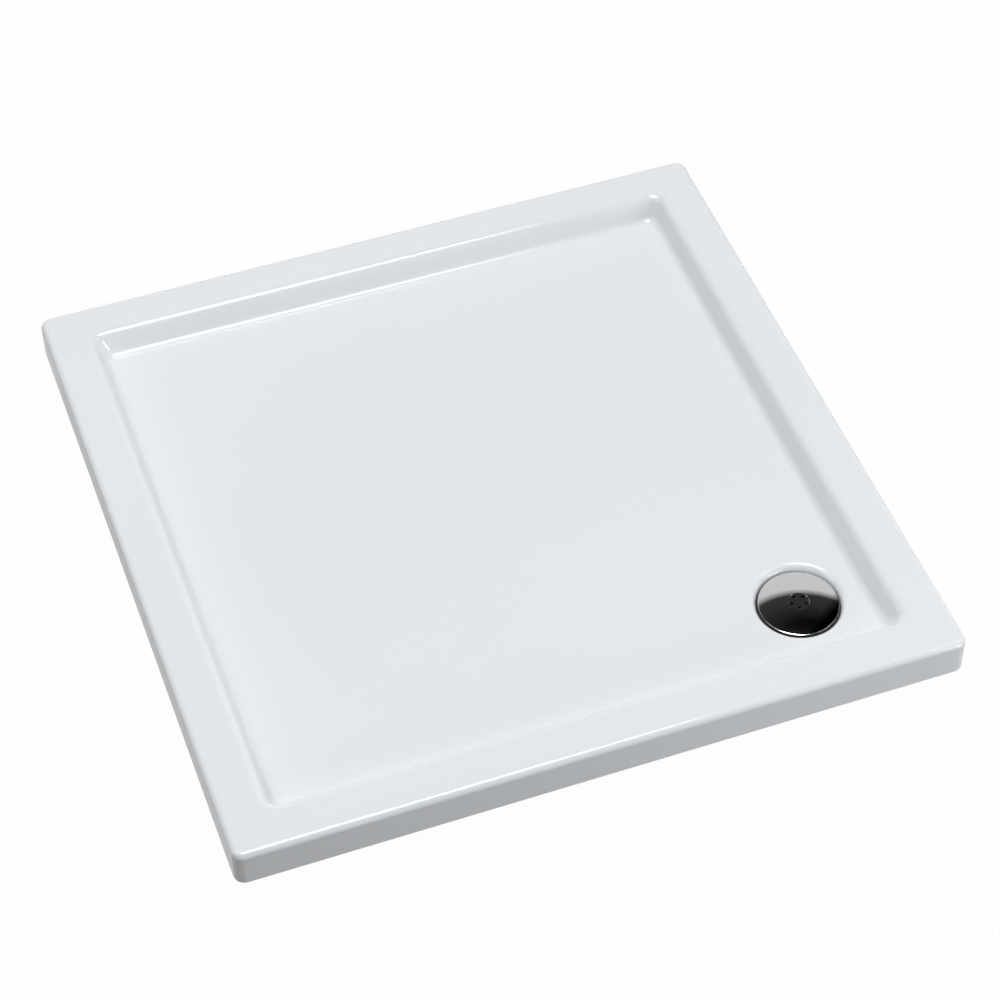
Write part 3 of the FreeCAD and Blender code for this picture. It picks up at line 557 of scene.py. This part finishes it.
def cap_cover():
    """Domed cap with a sunk disc that five holes pass through."""
    cap = Grower("cap_holes", {"Holes": DISC_HOLES, "Radius": DISC_HOLE_RADIUS, "Circle": DISC_HOLE_CIRCLE})
    rod = cap.cylinder(cap.given["Radius"], 12 * MM, 28)
    rods = cap.round_the_axis(rod, cap.given["Holes"], cap.given["Circle"])
    plain = cap.add("GeometryNodeRealizeInstances", {"Geometry": rods})["Geometry"]
    turned = cap.moved(plain, turn=(0.0, 0.0, math.pi / DISC_HOLES))
    tool = cap.moved(turned, DRAIN_X, DRAIN_Y, CAP_TOP)
    dome = turned_mesh("cap_dome", cap_profile(), (DRAIN_X, DRAIN_Y), CAP_SIDES)
    mesh = cap.grown(cap.cut(cap.given["Geometry"], tool), "cap_cover", dome)
    shade(mesh, 30)
    new_piece("cap_dome", mesh, "cap_cover")


def upper_gasket():
    """Flat seal under the clamp ring, with a soft lip that fills the gap between ring and sump wall."""
    outer = SUMP_RADIUS - GASKET_GAP
    inner = (GASKET_BOX[1].x - GASKET_BOX[0].x) / 2 + 0.05 * MM
    lip = SEAT + GASKET_LIP
    flat = GASKET_BOX[1].z
    profile = [(DRAIN_HOLE, SEAT), (outer - 1.45 * MM, SEAT), (outer - 0.35 * MM, SEAT + 0.45 * MM)]
    profile += [(outer, SEAT + 1.6 * MM), (outer, lip - 0.4 * MM), (outer - 0.3 * MM, lip)]
    profile += [(inner + 0.3 * MM, lip), (inner, lip - 0.3 * MM), (inner, flat), (DRAIN_HOLE, flat)]
    mesh = turned_mesh("upper_gasket", profile, (DRAIN_X, DRAIN_Y), GASKET_SIDES, solid=False)
    shade(mesh, 40)
    new_piece("upper_gasket", mesh, "waste_upper_gasket")


# ---------------- feet
def foot_places():
    """Each foot's axis in plan."""
    places = {}
    for foot in FEET:
        low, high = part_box("foot_stud_" + foot)
        places[foot] = ((low.x + high.x) / 2, (low.y + high.y) / 2)
    return places


def hexagon_blank(grower, flats, height):
    """Hexagon with its corners rounded off towards both ends, centred on the origin."""
    blank = grower.cylinder(grower.calc("DIVIDE", flats, math.sqrt(3)), height, 6)
    wide = grower.calc("MULTIPLY", flats, HEX_BALL_RADIUS)
    tall = grower.calc("MULTIPLY", height, HEX_BALL_HEIGHT)
    return grower.common(blank, grower.flat_ball(wide, tall, 40, 20))


def stud_mesh():
    """Threaded rod with a spanner collar over the pad, for a foot at the origin."""
    low, high = [corner.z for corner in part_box("foot_stud_centre")]
    sizes = {"Radius": STUD_RADIUS, "Pitch": THREAD_PITCH, "Depth": THREAD_DEPTH, "Low": low, "High": high,
             "Collar flats": COLLAR_FLATS, "Collar height": COLLAR_HEIGHT, "Collar low": PAD_HEIGHT}
    stud = Grower("threaded_stud", sizes)
    given = stud.given
    core_radius = stud.calc("SUBTRACT", given["Radius"], given["Depth"])
    length = stud.calc("SUBTRACT", given["High"], given["Low"])
    middle = stud.calc("MULTIPLY", stud.calc("ADD", given["High"], given["Low"]), 0.5)
    core = stud.moved(stud.cylinder(core_radius, length, 32), z=middle)
    start = stud.calc("ADD", stud.calc("ADD", given["Collar low"], given["Collar height"]), THREAD_START)
    thread_end = stud.calc("SUBTRACT", given["High"], THREAD_END)
    run = stud.calc("SUBTRACT", thread_end, start)
    turns = stud.calc("DIVIDE", run, given["Pitch"])
    ridge_radius = stud.calc("ADD", core_radius, stud.calc("MULTIPLY", given["Depth"], RIDGE_OUT))
    helix = {"Resolution": THREAD_STEPS, "Rotations": turns, "Start Radius": ridge_radius,
             "End Radius": ridge_radius, "Height": run}
    helix = stud.add("GeometryNodeCurveSpiral", helix)["Curve"]
    upright = stud.add("GeometryNodeSetCurveNormal", {"Curve": helix}, mode="Z_UP")["Curve"]
    section = {"Resolution": 3, "Radius": stud.calc("MULTIPLY", given["Depth"], RIDGE_RADIUS)}
    section = stud.add("GeometryNodeCurvePrimitiveCircle", section)["Curve"]
    swept = {"Curve": upright, "Profile Curve": section, "Fill Caps": True}
    ridge = stud.moved(stud.add("GeometryNodeCurveToMesh", swept)["Mesh"], z=start)
    collar = hexagon_blank(stud, given["Collar flats"], given["Collar height"])
    collar_z = stud.calc("ADD", given["Collar low"], stud.calc("MULTIPLY", given["Collar height"], 0.5))
    collar = stud.moved(collar, z=collar_z)
    mesh = stud.grown(stud.joined(core, ridge, collar), "foot_stud_centre", points_mesh("stud_start", []))
    shade(mesh, 28)
    return mesh


def pad_mesh():
    """Round pad with a soft edge, ribs on its slope and a ribbed hollow below, for a foot at the origin."""
    lip = PAD_RADIUS - PAD_LIP
    edge = PAD_LOW_ROUND
    profile = [(3 * MM, PAD_HOLLOW), (lip - 1.2 * MM, PAD_HOLLOW), (lip - 0.4 * MM, PAD_HOLLOW - 0.4 * MM),
               (lip, 1.2 * MM), (lip, 0.2 * MM), (lip + 0.2 * MM, 0.0)]
    for angle in roll(5, math.pi / 2):
        profile.append((PAD_RADIUS - edge + edge * math.sin(angle), edge - edge * math.cos(angle)))
    start = (PAD_RADIUS - 0.8 * MM, PAD_EDGE + 0.2 * MM)
    end = (PAD_TOP_RADIUS + 0.6 * MM, PAD_HEIGHT - 0.3 * MM)
    profile += [(PAD_RADIUS, PAD_EDGE - 0.8 * MM), (PAD_RADIUS - 0.25 * MM, PAD_EDGE - 0.2 * MM), start]
    for share in (0.1, 0.5, 0.9):
        profile.append((start[0] + (end[0] - start[0]) * share, start[1] + (end[1] - start[1]) * share))
    profile += [end, (PAD_TOP_RADIUS, PAD_HEIGHT), (STUD_RADIUS + 1.2 * MM, PAD_HEIGHT), (3 * MM, PAD_HEIGHT)]
    pad = Grower("pad_ribs", {"Ribs": PAD_RIBS, "Rib width": PAD_RIB_WIDTH})
    fall = math.atan2(PAD_HEIGHT - PAD_EDGE, PAD_RADIUS - PAD_TOP_RADIUS)
    top_rib = pad.block(PAD_TOP_RIB[0], pad.given["Rib width"], PAD_TOP_RIB[1])
    top_rib = pad.moved(top_rib, z=(PAD_HEIGHT + PAD_EDGE) / 2, turn=(0.0, fall, 0.0))
    low_rib = pad.moved(pad.block(PAD_LOW_RIB[0], pad.given["Rib width"], PAD_LOW_RIB[1]), z=PAD_LOW_RIB_Z)
    middle = (PAD_RADIUS + PAD_TOP_RADIUS) / 2
    ribs = pad.round_the_axis(top_rib, pad.given["Ribs"], middle)
    low_ribs = pad.round_the_axis(low_rib, pad.given["Ribs"], PAD_LOW_RIB_OUT)
    body = turned_mesh("pad_body", profile, (0, 0), PAD_SIDES)
    mesh = pad.grown(pad.joined(pad.given["Geometry"], ribs, low_ribs), "foot_pad_centre", body)
    shade(mesh, 30)
    return mesh


def feet():
    """A stud and a pad at each foot, from one mesh each."""
    kinds = {"stud": stud_mesh(), "pad": pad_mesh()}
    for foot, (x, y) in foot_places().items():
        for kind, made in kinds.items():
            mesh = made.copy()
            mesh.transform(Matrix.Translation((x, y, 0)))
            new_piece(f"{kind}_{foot}", mesh, f"foot_{kind}_{foot}")


def lock_nuts():
    """One nut on each stud."""
    low, high = [corner.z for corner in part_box("foot_lock_nuts")]
    nut = Grower("lock_nut", {"Flats": NUT_FLATS, "Height": NUT_HEIGHT, "Bore": STUD_RADIUS + 0.05 * MM})
    blank = hexagon_blank(nut, nut.given["Flats"], nut.given["Height"])
    bored = nut.cut(blank, nut.cylinder(nut.given["Bore"], 20 * MM, 32))
    places = [(x, y, (low + high) / 2) for x, y in foot_places().values()]
    mesh = nut.grown(nut.on_points(bored), "foot_lock_nuts", points_mesh("nut_places", places))
    shade(mesh, 25)
    new_piece("lock_nuts", mesh, "foot_lock_nuts")


# ---------------- screws
def cross_recess(grower, radius, depth):
    """Two crossed bars that are cut into a screw's head, centred on the origin."""
    long_side = grower.calc("MULTIPLY", radius, RECESS_LENGTH)
    short_side = grower.calc("MULTIPLY", radius, RECESS_WIDTH)
    bar = grower.block(long_side, short_side, depth)
    return [bar, grower.moved(bar, turn=(0.0, 0.0, math.pi / 2))]


def wood_screws():
    """Round-headed screws that hold the foot sockets, heads down."""
    low, high = [corner.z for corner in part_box("socket_screws")]
    sizes = {"Head": WOOD_HEAD, "Head height": WOOD_HEAD_HEIGHT, "Radius": WOOD_SHANK, "Length": high - low}
    screw = Grower("wood_screw", sizes)
    given = screw.given
    blank = screw.cylinder(given["Head"], given["Head height"], 32)
    blank = screw.moved(blank, z=screw.calc("MULTIPLY", given["Head height"], 0.5))
    ball = screw.flat_ball(screw.calc("MULTIPLY", given["Head"], WOOD_HEAD_BALL), given["Head height"], 32, 24)
    head = screw.common(blank, screw.moved(ball, z=given["Head height"]))
    head = screw.cut(head, *cross_recess(screw, given["Head"], WOOD_RECESS))
    shank_length = screw.calc("SUBTRACT", given["Length"], given["Head height"])
    shank = screw.cylinder(given["Radius"], shank_length, 16)
    shank_z = screw.calc("ADD", given["Head height"], screw.calc("MULTIPLY", shank_length, 0.5))
    whole = screw.joined(head, screw.moved(shank, z=shank_z))
    places = []
    for x, y in foot_places().values():
        for side in (-WOOD_SCREW_OUT, WOOD_SCREW_OUT):
            places += [(x + side, y - WOOD_SCREW_OUT, low), (x + side, y + WOOD_SCREW_OUT, low)]
    mesh = screw.grown(screw.on_points(whole), "socket_screws", points_mesh("wood_places", places))
    shade(mesh, 30)
    new_piece("wood_screws", mesh, "socket_screws")


def clamp_screws():
    """Countersunk screws that draw the trap up to the clamp ring."""
    low, high = [corner.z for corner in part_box("waste_clamp_screws")]
    screw = Grower("clamp_screw", {"Head": CLAMP_HEAD, "Radius": CLAMP_SHANK, "Length": high - low})
    given = screw.given
    depth = screw.calc("SUBTRACT", given["Head"], given["Radius"])
    head = screw.frustum(given["Head"], given["Radius"], depth, 32)
    head = screw.moved(head, z=screw.calc("MULTIPLY", depth, -1.0))
    head = screw.cut(head, *cross_recess(screw, given["Head"], CLAMP_RECESS))
    shank_length = screw.calc("SUBTRACT", given["Length"], depth)
    shank = screw.cylinder(given["Radius"], shank_length, 24)
    shank_z = screw.calc("MULTIPLY", screw.calc("ADD", given["Length"], depth), -0.5)
    whole = screw.joined(head, screw.moved(shank, z=shank_z))
    places = []
    for number in range(CLAMP_SCREWS):
        turn = math.pi / 4 + number * 2 * math.pi / CLAMP_SCREWS
        x = DRAIN_X + CLAMP_SCREW_CIRCLE * math.cos(turn)
        y = DRAIN_Y + CLAMP_SCREW_CIRCLE * math.sin(turn)
        places.append((x, y, high))
    mesh = screw.grown(screw.on_points(whole), "waste_clamp_screws", points_mesh("clamp_places", places))
    shade(mesh, 30)
    new_piece("clamp_screws", mesh, "waste_clamp_screws")


# ---------------- materials
def new_material(name):
    material = bpy.data.materials.new(name)
    material.use_nodes = True
    tree = material.node_tree
    tree.nodes.clear()
    out = tree.nodes.new("ShaderNodeOutputMaterial")
    surface = tree.nodes.new("ShaderNodeBsdfPrincipled")
    tree.links.new(surface.outputs["BSDF"], out.inputs["Surface"])
    return material, tree, surface


def calculated(tree, operation, first, second):
    """One operation on two values, each a number or an output."""
    node = tree.nodes.new("ShaderNodeMath")
    node.operation = operation
    for socket, value in zip(node.inputs, (first, second)):
        if isinstance(value, float):
            socket.default_value = value
        else:
            tree.links.new(value, socket)
    return node.outputs["Value"]


def mapped_place(tree, stretch=(1.0, 1.0, 1.0), turn=0.0):
    """Object coordinates for a pattern that is stretched, and then turned about Z."""
    place = tree.nodes.new("ShaderNodeTexCoord")
    mapping = tree.nodes.new("ShaderNodeMapping")
    mapping.vector_type = "TEXTURE"
    mapping.inputs["Scale"].default_value = stretch
    mapping.inputs["Rotation"].default_value = (0.0, 0.0, turn)
    tree.links.new(place.outputs["Object"], mapping.inputs["Vector"])
    return mapping.outputs["Vector"]


def noise_at(tree, place, scale, detail=4.0, roughness=0.5, twist=0.0):
    noise = tree.nodes.new("ShaderNodeTexNoise")
    noise.inputs["Scale"].default_value = scale
    noise.inputs["Detail"].default_value = detail
    noise.inputs["Roughness"].default_value = roughness
    noise.inputs["Distortion"].default_value = twist
    tree.links.new(place, noise.inputs["Vector"])
    return noise.outputs["Fac"]


def chips_at(tree, place, scale):
    """Flat chips with a random tone each."""
    chips = tree.nodes.new("ShaderNodeTexVoronoi")
    chips.inputs["Scale"].default_value = scale
    tree.links.new(place, chips.inputs["Vector"])
    split = tree.nodes.new("ShaderNodeSeparateColor")
    tree.links.new(chips.outputs["Color"], split.inputs["Color"])
    return split.outputs["Red"]


def blended(tree, *shares):
    """Sum of sources, as (source, share) pairs."""
    total = None
    for source, share in shares:
        part = calculated(tree, "MULTIPLY", source, share)
        total = part if total is None else calculated(tree, "ADD", total, part)
    return total


def tone_ramp(tree, source, *steps):
    """Colours by place along a source, as (place, colour) pairs."""
    node = tree.nodes.new("ShaderNodeValToRGB")
    marks = node.color_ramp.elements
    while len(marks) < len(steps):
        marks.new(0.5)
    for mark, (place, colour) in zip(marks, steps):
        mark.position = place
        mark.color = (*colour, 1)
    tree.links.new(source, node.inputs["Fac"])
    return node.outputs["Color"]


def dress(tree, surface, colour, rough_source, rough, height, strength, depth):
    """Joins a finish's colour, roughness and relief to its shader."""
    tree.links.new(colour, surface.inputs["Base Color"])
    shine = tree.nodes.new("ShaderNodeMapRange")
    shine.inputs["To Min"].default_value, shine.inputs["To Max"].default_value = rough
    tree.links.new(rough_source, shine.inputs["Value"])
    tree.links.new(shine.outputs["Result"], surface.inputs["Roughness"])
    relief = tree.nodes.new("ShaderNodeBump")
    relief.inputs["Strength"].default_value = strength
    relief.inputs["Distance"].default_value = depth
    tree.links.new(height, relief.inputs["Height"])
    tree.links.new(relief.outputs["Normal"], surface.inputs["Normal"])


def polished_acrylic():
    """White sheet with a faint drift in tone and the low ripple that vacuum forming leaves."""
    material, tree, surface = new_material("polished_acrylic")
    place = mapped_place(tree)
    drift = noise_at(tree, place, 2.5, 2.0)
    colour = tone_ramp(tree, drift, (0.3, (0.838, 0.868, 0.897)), (0.7, (0.852, 0.881, 0.909)))
    wiped = noise_at(tree, place, 14.0, 6.0, 0.7, 0.6)
    ripple = noise_at(tree, place, 9.0, 1.0)
    dress(tree, surface, colour, wiped, (0.05, 0.11), ripple, 0.05, 1.0 * MM)
    surface.inputs["Coat Weight"].default_value = 0.15
    surface.inputs["Coat Roughness"].default_value = 0.04
    return material


def strand_mat():
    """Chopped glass strands in three directions under resin, with some of it pooled."""
    material, tree, surface = new_material("glass_fibre_laminate")
    strands = None
    for turn, length, scale in ((0.3, 14.0, 210.0), (1.4, 11.0, 190.0), (2.5, 12.5, 230.0)):
        layer = noise_at(tree, mapped_place(tree, (length, 1.0, 1.7), turn), scale, 2.0, 0.6, 0.4)
        strands = layer if strands is None else calculated(tree, "MAXIMUM", strands, layer)
    resin = noise_at(tree, mapped_place(tree), 16.0, 5.0, 0.6)
    mat = blended(tree, (strands, 0.75), (resin, 0.3))
    colour = tone_ramp(tree, mat, (0.45, (0.40, 0.42, 0.33)), (0.60, (0.60, 0.61, 0.52)),
                       (0.74, (0.78, 0.78, 0.71)))
    dress(tree, surface, colour, resin, (0.25, 0.6), mat, 0.9, 1.2 * MM)
    return material


def chipboard():
    """Pressed wood chips, fine ones among coarse ones, with dark slivers."""
    material, tree, surface = new_material("chipboard")
    coarse = chips_at(tree, mapped_place(tree, (1.8, 1.0, 0.6), 0.5), 300.0)
    fine = chips_at(tree, mapped_place(tree, (1.7, 1.0, 0.7), 2.0), 620.0)
    sliver = noise_at(tree, mapped_place(tree, (4.0, 1.0, 1.0), 1.1), 260.0, 2.0, 0.5, 1.0)
    mixed = blended(tree, (coarse, 0.5), (fine, 0.3), (sliver, 0.35))
    colour = tone_ramp(tree, mixed, (0.25, (0.20, 0.125, 0.065)), (0.42, (0.42, 0.29, 0.165)),
                       (0.62, (0.56, 0.41, 0.25)), (0.95, (0.68, 0.53, 0.35)))
    dress(tree, surface, colour, fine, (0.6, 0.85), mixed, 0.6, 0.4 * MM)
    return material


def sawn_softwood(name, turn):
    """Growth rings and fine fibre that run along the batten."""
    material, tree, surface = new_material(name)
    warp = noise_at(tree, mapped_place(tree, (20.0, 1.0, 1.0), turn), 30.0, 3.0)
    rings = tree.nodes.new("ShaderNodeTexWave")
    rings.wave_type = "RINGS"
    rings.rings_direction = "X"
    rings.inputs["Scale"].default_value = 75.0
    rings.inputs["Distortion"].default_value = 5.0
    rings.inputs["Detail"].default_value = 3.0
    rings.inputs["Detail Scale"].default_value = 0.6
    tree.links.new(mapped_place(tree, (16.0, 1.0, 1.0), turn), rings.inputs["Vector"])
    fibre = noise_at(tree, mapped_place(tree, (32.0, 1.0, 1.0), turn), 700.0, 3.0, 0.7)
    mixed = blended(tree, (rings.outputs["Fac"], 0.55), (fibre, 0.3), (warp, 0.3))
    colour = tone_ramp(tree, mixed, (0.28, (0.66, 0.48, 0.29)), (0.62, (0.58, 0.395, 0.21)),
                       (0.90, (0.40, 0.24, 0.11)))
    dress(tree, surface, colour, fibre, (0.5, 0.75), mixed, 0.4, 0.4 * MM)
    return material


def moulded_plastic(name, low, high, rough):
    """Moulded plastic: a slight drift in tone along the flow, and a fine grain."""
    material, tree, surface = new_material(name)
    flow = noise_at(tree, mapped_place(tree, (1.0, 1.0, 2.8)), 22.0, 4.0, 0.6, 0.8)
    colour = tone_ramp(tree, flow, (0.3, low), (0.7, high))
    fine = noise_at(tree, mapped_place(tree), 420.0, 2.0, 0.6)
    dress(tree, surface, colour, blended(tree, (flow, 0.5), (fine, 0.5)), rough, fine, 0.25, 0.08 * MM)
    return material


def plated_metal(name, dark, light, rough, cell, stretch=(1.0, 1.0, 1.0)):
    """Metal with crystal cells or brush marks that differ a little in tone and shine."""
    material, tree, surface = new_material(name)
    cells = chips_at(tree, mapped_place(tree, stretch), cell)
    cloud = noise_at(tree, mapped_place(tree), 60.0, 5.0, 0.65)
    mixed = blended(tree, (cells, 0.5), (cloud, 0.5))
    colour = tone_ramp(tree, mixed, (0.2, dark), (0.8, light))
    dress(tree, surface, colour, mixed, rough, cloud, 0.15, 0.05 * MM)
    surface.inputs["Metallic"].default_value = 1.0
    return material


def chrome_plating():
    """Bright plate with the faint haze of dried water and a very soft orange peel."""
    material, tree, surface = new_material("chrome_plating")
    haze = noise_at(tree, mapped_place(tree), 90.0, 6.0, 0.7, 0.5)
    colour = tone_ramp(tree, haze, (0.3, (0.885, 0.89, 0.90)), (0.7, (0.925, 0.928, 0.935)))
    peel = noise_at(tree, mapped_place(tree), 120.0, 1.0)
    dress(tree, surface, colour, haze, (0.02, 0.075), peel, 0.02, 0.05 * MM)
    surface.inputs["Metallic"].default_value = 1.0
    return material


def dusty_rubber():
    """Black rubber with a bloom of dust."""
    material, tree, surface = new_material("seal_rubber")
    dust = noise_at(tree, mapped_place(tree), 130.0, 6.0, 0.7)
    colour = tone_ramp(tree, dust, (0.35, (0.018, 0.018, 0.019)), (0.75, (0.055, 0.054, 0.052)))
    fine = noise_at(tree, mapped_place(tree), 900.0, 2.0)
    dress(tree, surface, colour, dust, (0.5, 0.8), fine, 0.2, 0.06 * MM)
    return material


FINISHES = {
    "acrylic_white": polished_acrylic(),
    "glass_fibre_resin": strand_mat(),
    "chipboard": chipboard(),
    "batten_wood": sawn_softwood("sawn_softwood_along_x", 0.0),
    "black_nylon": moulded_plastic("black_nylon", (0.016, 0.016, 0.017), (0.030, 0.030, 0.032), (0.34, 0.58)),
    "zinc_steel": plated_metal("zinc_plated_steel", (0.48, 0.49, 0.51), (0.72, 0.73, 0.745), (0.18, 0.42),
                               650.0),
    "stainless_steel": plated_metal("stainless_steel", (0.50, 0.50, 0.49), (0.66, 0.66, 0.65), (0.18, 0.36),
                                    1500.0, (1.0, 25.0, 1.0)),
    "seal_rubber": dusty_rubber(),
    "white_polypropylene": moulded_plastic("white_polypropylene", (0.72, 0.725, 0.71), (0.80, 0.80, 0.785),
                                           (0.28, 0.46)),
    "grey_polypropylene": moulded_plastic("grey_polypropylene", (0.24, 0.25, 0.26), (0.33, 0.34, 0.35),
                                          (0.30, 0.46)),
    "chrome_plate": chrome_plating(),
}
SIDE_BATTEN_WOOD = sawn_softwood("sawn_softwood_along_y", math.pi / 2)


def finish_of(node):
    """The finish of a node's slot. The side battens' grain runs front to back."""
    if node in ("rim_batten_left", "rim_batten_right"):
        return SIDE_BATTEN_WOOD
    return FINISHES[SLOTS[node]]


def dress_nodes():
    """Gives every node of the frame the finish of its slot."""
    for name in SLOTS:
        materials = frame["nodes"][name].data.materials
        materials.clear()
        materials.append(finish_of(name))


# ---------------- stage, light and camera
FLOOR_REACH = 6.0
FLOOR_TONE = 0.45
FLOOR_WHITE = 0.98                       # share of plain white that the camera sees
FLOOR_MIRRORED = 0.45                    # share of it that metal and glass show
WALL_ACROSS = [(0.0, 1.0), (0.86, 1.0), (0.90, 0.9), (1.0, 0.9)]  # left to right
WALL_ALONG = [(0.0, 0.0), (0.82, 0.0), (0.86, 1.0), (1.0, 1.0)]  # front to back
WALL_HEIGHT = [(0.0, 0.40), (0.40, 0.45), (0.50, 0.62), (0.735, 0.60), (0.785, 0.034), (0.85, 0.028),
               (0.96, 0.003)]
WALL_LEAN = 0.14                         # its top edge falls to the right
BACKDROP_HEIGHT = [(0.0, 1.0), (0.30, 1.0), (0.42, 0.0)]  # white low down
LAMP_TARGET = Vector((0, 0, 0.1))
# Name, place, shape, size and power in watts
SOFTBOXES = [
    ("overhead_softbox", (0.15, 0.1, 6.0), "DISK", (3.2,), 222.0),
    ("right_softbox", (1.7, -0.7, 2.2), "RECTANGLE", (1.4, 1.0), 9.5),
    ("left_softbox", (-1.7, -0.05, 2.2), "RECTANGLE", (1.4, 1.8), 13.4),
    ("low_front_right_softbox", (1.8, -2.4, 0.65), "RECTANGLE", (1.2, 1.0), 25.0),
]
PHOTO_PLACE = (-0.77846, -2.29640, RIM_TOP + 2.69054)
PHOTO_TURN = (41.48389, 0.07728, -20.02147)  # degrees
PHOTO_LENS = 105.458
PHOTO_SHIFT = -0.02265


def seen_share(tree, direct, mirrored):
    """direct for what the eye sees, mirrored for what metal and glass show it, 0 for light on matt surfaces."""
    path = tree.nodes.new("ShaderNodeLightPath").outputs
    mirror = calculated(tree, "MAXIMUM", path["Is Glossy Ray"], path["Is Transmission Ray"])
    unspread = calculated(tree, "LESS_THAN", path["Diffuse Depth"], 0.5)
    in_mirror = calculated(tree, "MULTIPLY", calculated(tree, "MULTIPLY", mirror, unspread), mirrored)
    return calculated(tree, "MAXIMUM", calculated(tree, "MULTIPLY", path["Is Camera Ray"], direct), in_mirror)


def end_in_white(tree, base, white, direct, mirrored, end):
    """Ends a tree with white for what is seen, and its base for light."""
    blend = tree.nodes.new("ShaderNodeMixShader")
    tree.links.new(seen_share(tree, direct, mirrored), blend.inputs["Fac"])
    tree.links.new(base, blend.inputs[1])
    tree.links.new(white, blend.inputs[2])
    tree.links.new(blend.outputs["Shader"], tree.nodes.new(end).inputs["Surface"])


def stage_floor():
    """Matt floor that the camera sees as white."""
    mesh = bpy.data.meshes.new("studio_floor")
    corners = [(-1, -1), (1, -1), (1, 1), (-1, 1)]
    mesh.from_pydata([(FLOOR_REACH * x, FLOOR_REACH * y, 0) for x, y in corners], [], [(0, 1, 2, 3)])
    floor = bpy.data.objects.new("studio_floor", mesh)
    bpy.context.scene.collection.objects.link(floor)
    material = bpy.data.materials.new("studio_floor")
    material.use_nodes = True
    tree = material.node_tree
    tree.nodes.clear()
    matt = tree.nodes.new("ShaderNodeBsdfDiffuse")
    matt.inputs["Color"].default_value = (FLOOR_TONE, FLOOR_TONE, FLOOR_TONE, 1)
    white = tree.nodes.new("ShaderNodeEmission").outputs["Emission"]
    end_in_white(tree, matt.outputs["BSDF"], white, FLOOR_WHITE, FLOOR_MIRRORED, "ShaderNodeOutputMaterial")
    mesh.materials.append(material)


def studio_world():
    """A white backdrop low down, a grey studio wall behind the tray, and a dark ceiling. The light that falls
    on matt surfaces comes from the wall and the softboxes alone."""
    world = bpy.data.worlds.new("studio")
    world.use_nodes = True
    tree = world.node_tree
    tree.nodes.clear()
    place = tree.nodes.new("ShaderNodeTexCoord")
    parts = tree.nodes.new("ShaderNodeSeparateXYZ")
    tree.links.new(place.outputs["Generated"], parts.inputs["Vector"])
    flat = tree.nodes.new("ShaderNodeCombineXYZ")
    for axis in "XY":
        tree.links.new(parts.outputs[axis], flat.inputs[axis])
    heading = tree.nodes.new("ShaderNodeVectorMath")
    heading.operation = "NORMALIZE"
    tree.links.new(flat.outputs["Vector"], heading.inputs[0])
    sides = tree.nodes.new("ShaderNodeSeparateXYZ")
    tree.links.new(heading.outputs["Vector"], sides.inputs["Vector"])
    lean = blended(tree, (parts.outputs["Z"], 1.0), (sides.outputs["X"], WALL_LEAN))
    across = tone_steps(tree, half_range(tree, sides.outputs["X"]), WALL_ACROSS)
    along = tone_steps(tree, half_range(tree, sides.outputs["Y"]), WALL_ALONG)
    wall_tone = mixed_tone(tree, mixed_tone(tree, across, along), tone_steps(tree, lean, WALL_HEIGHT))
    low_part = tone_steps(tree, parts.outputs["Z"], BACKDROP_HEIGHT)

    wall = tree.nodes.new("ShaderNodeBackground")
    tree.links.new(wall_tone, wall.inputs["Color"])
    white = tree.nodes.new("ShaderNodeBackground")
    white.inputs["Color"].default_value = (1, 1, 1, 1)
    end_in_white(tree, wall.outputs["Background"], white.outputs["Background"], 1.0, low_part,
                 "ShaderNodeOutputWorld")
    bpy.context.scene.world = world


def half_range(tree, source):
    """Brings -1..1 to 0..1."""
    node = tree.nodes.new("ShaderNodeMapRange")
    node.inputs["From Min"].default_value = -1.0
    tree.links.new(source, node.inputs["Value"])
    return node.outputs["Result"]


def tone_steps(tree, source, steps):
    """Grey tones by place along a source, as (place, tone) pairs."""
    return tone_ramp(tree, source, *[(place, (tone, tone, tone)) for place, tone in steps])


def mixed_tone(tree, first, second):
    """Two tones multiplied."""
    node = tree.nodes.new("ShaderNodeVectorMath")
    node.operation = "MULTIPLY"
    tree.links.new(first, node.inputs[0])
    tree.links.new(second, node.inputs[1])
    return node.outputs["Vector"]


def studio_lamp(name, place, shape, size, power):
    """Area lamp that faces the tray."""
    light = bpy.data.lights.new(name, "AREA")
    light.shape = shape
    light.size = size[0]
    if shape == "RECTANGLE":
        light.size_y = size[1]
    light.energy = power
    lamp = bpy.data.objects.new(name, light)
    bpy.context.scene.collection.objects.link(lamp)
    lamp.location = place
    lamp.rotation_mode = "QUATERNION"
    lamp.rotation_quaternion = (LAMP_TARGET - Vector(place)).to_track_quat("-Z", "Y")


def studio_camera():
    """The photo's camera, from a fit to the tray's corners."""
    camera = bpy.data.cameras.new("photo_view")
    camera.lens = PHOTO_LENS
    camera.sensor_width = 36
    camera.shift_x = PHOTO_SHIFT
    viewer = bpy.data.objects.new("photo_view", camera)
    bpy.context.scene.collection.objects.link(viewer)
    viewer.location = PHOTO_PLACE
    viewer.rotation_euler = [math.radians(angle) for angle in PHOTO_TURN]
    bpy.context.scene.camera = viewer


def main():
    dress_nodes()
    tray_shell()
    cap_cover()
    upper_gasket()
    feet()
    lock_nuts()
    wood_screws()
    clamp_screws()
    stage_floor()
    studio_world()
    for softbox in SOFTBOXES:
        studio_lamp(*softbox)
    studio_camera()
    bpy.context.scene.view_settings.view_transform = "Standard"


main()
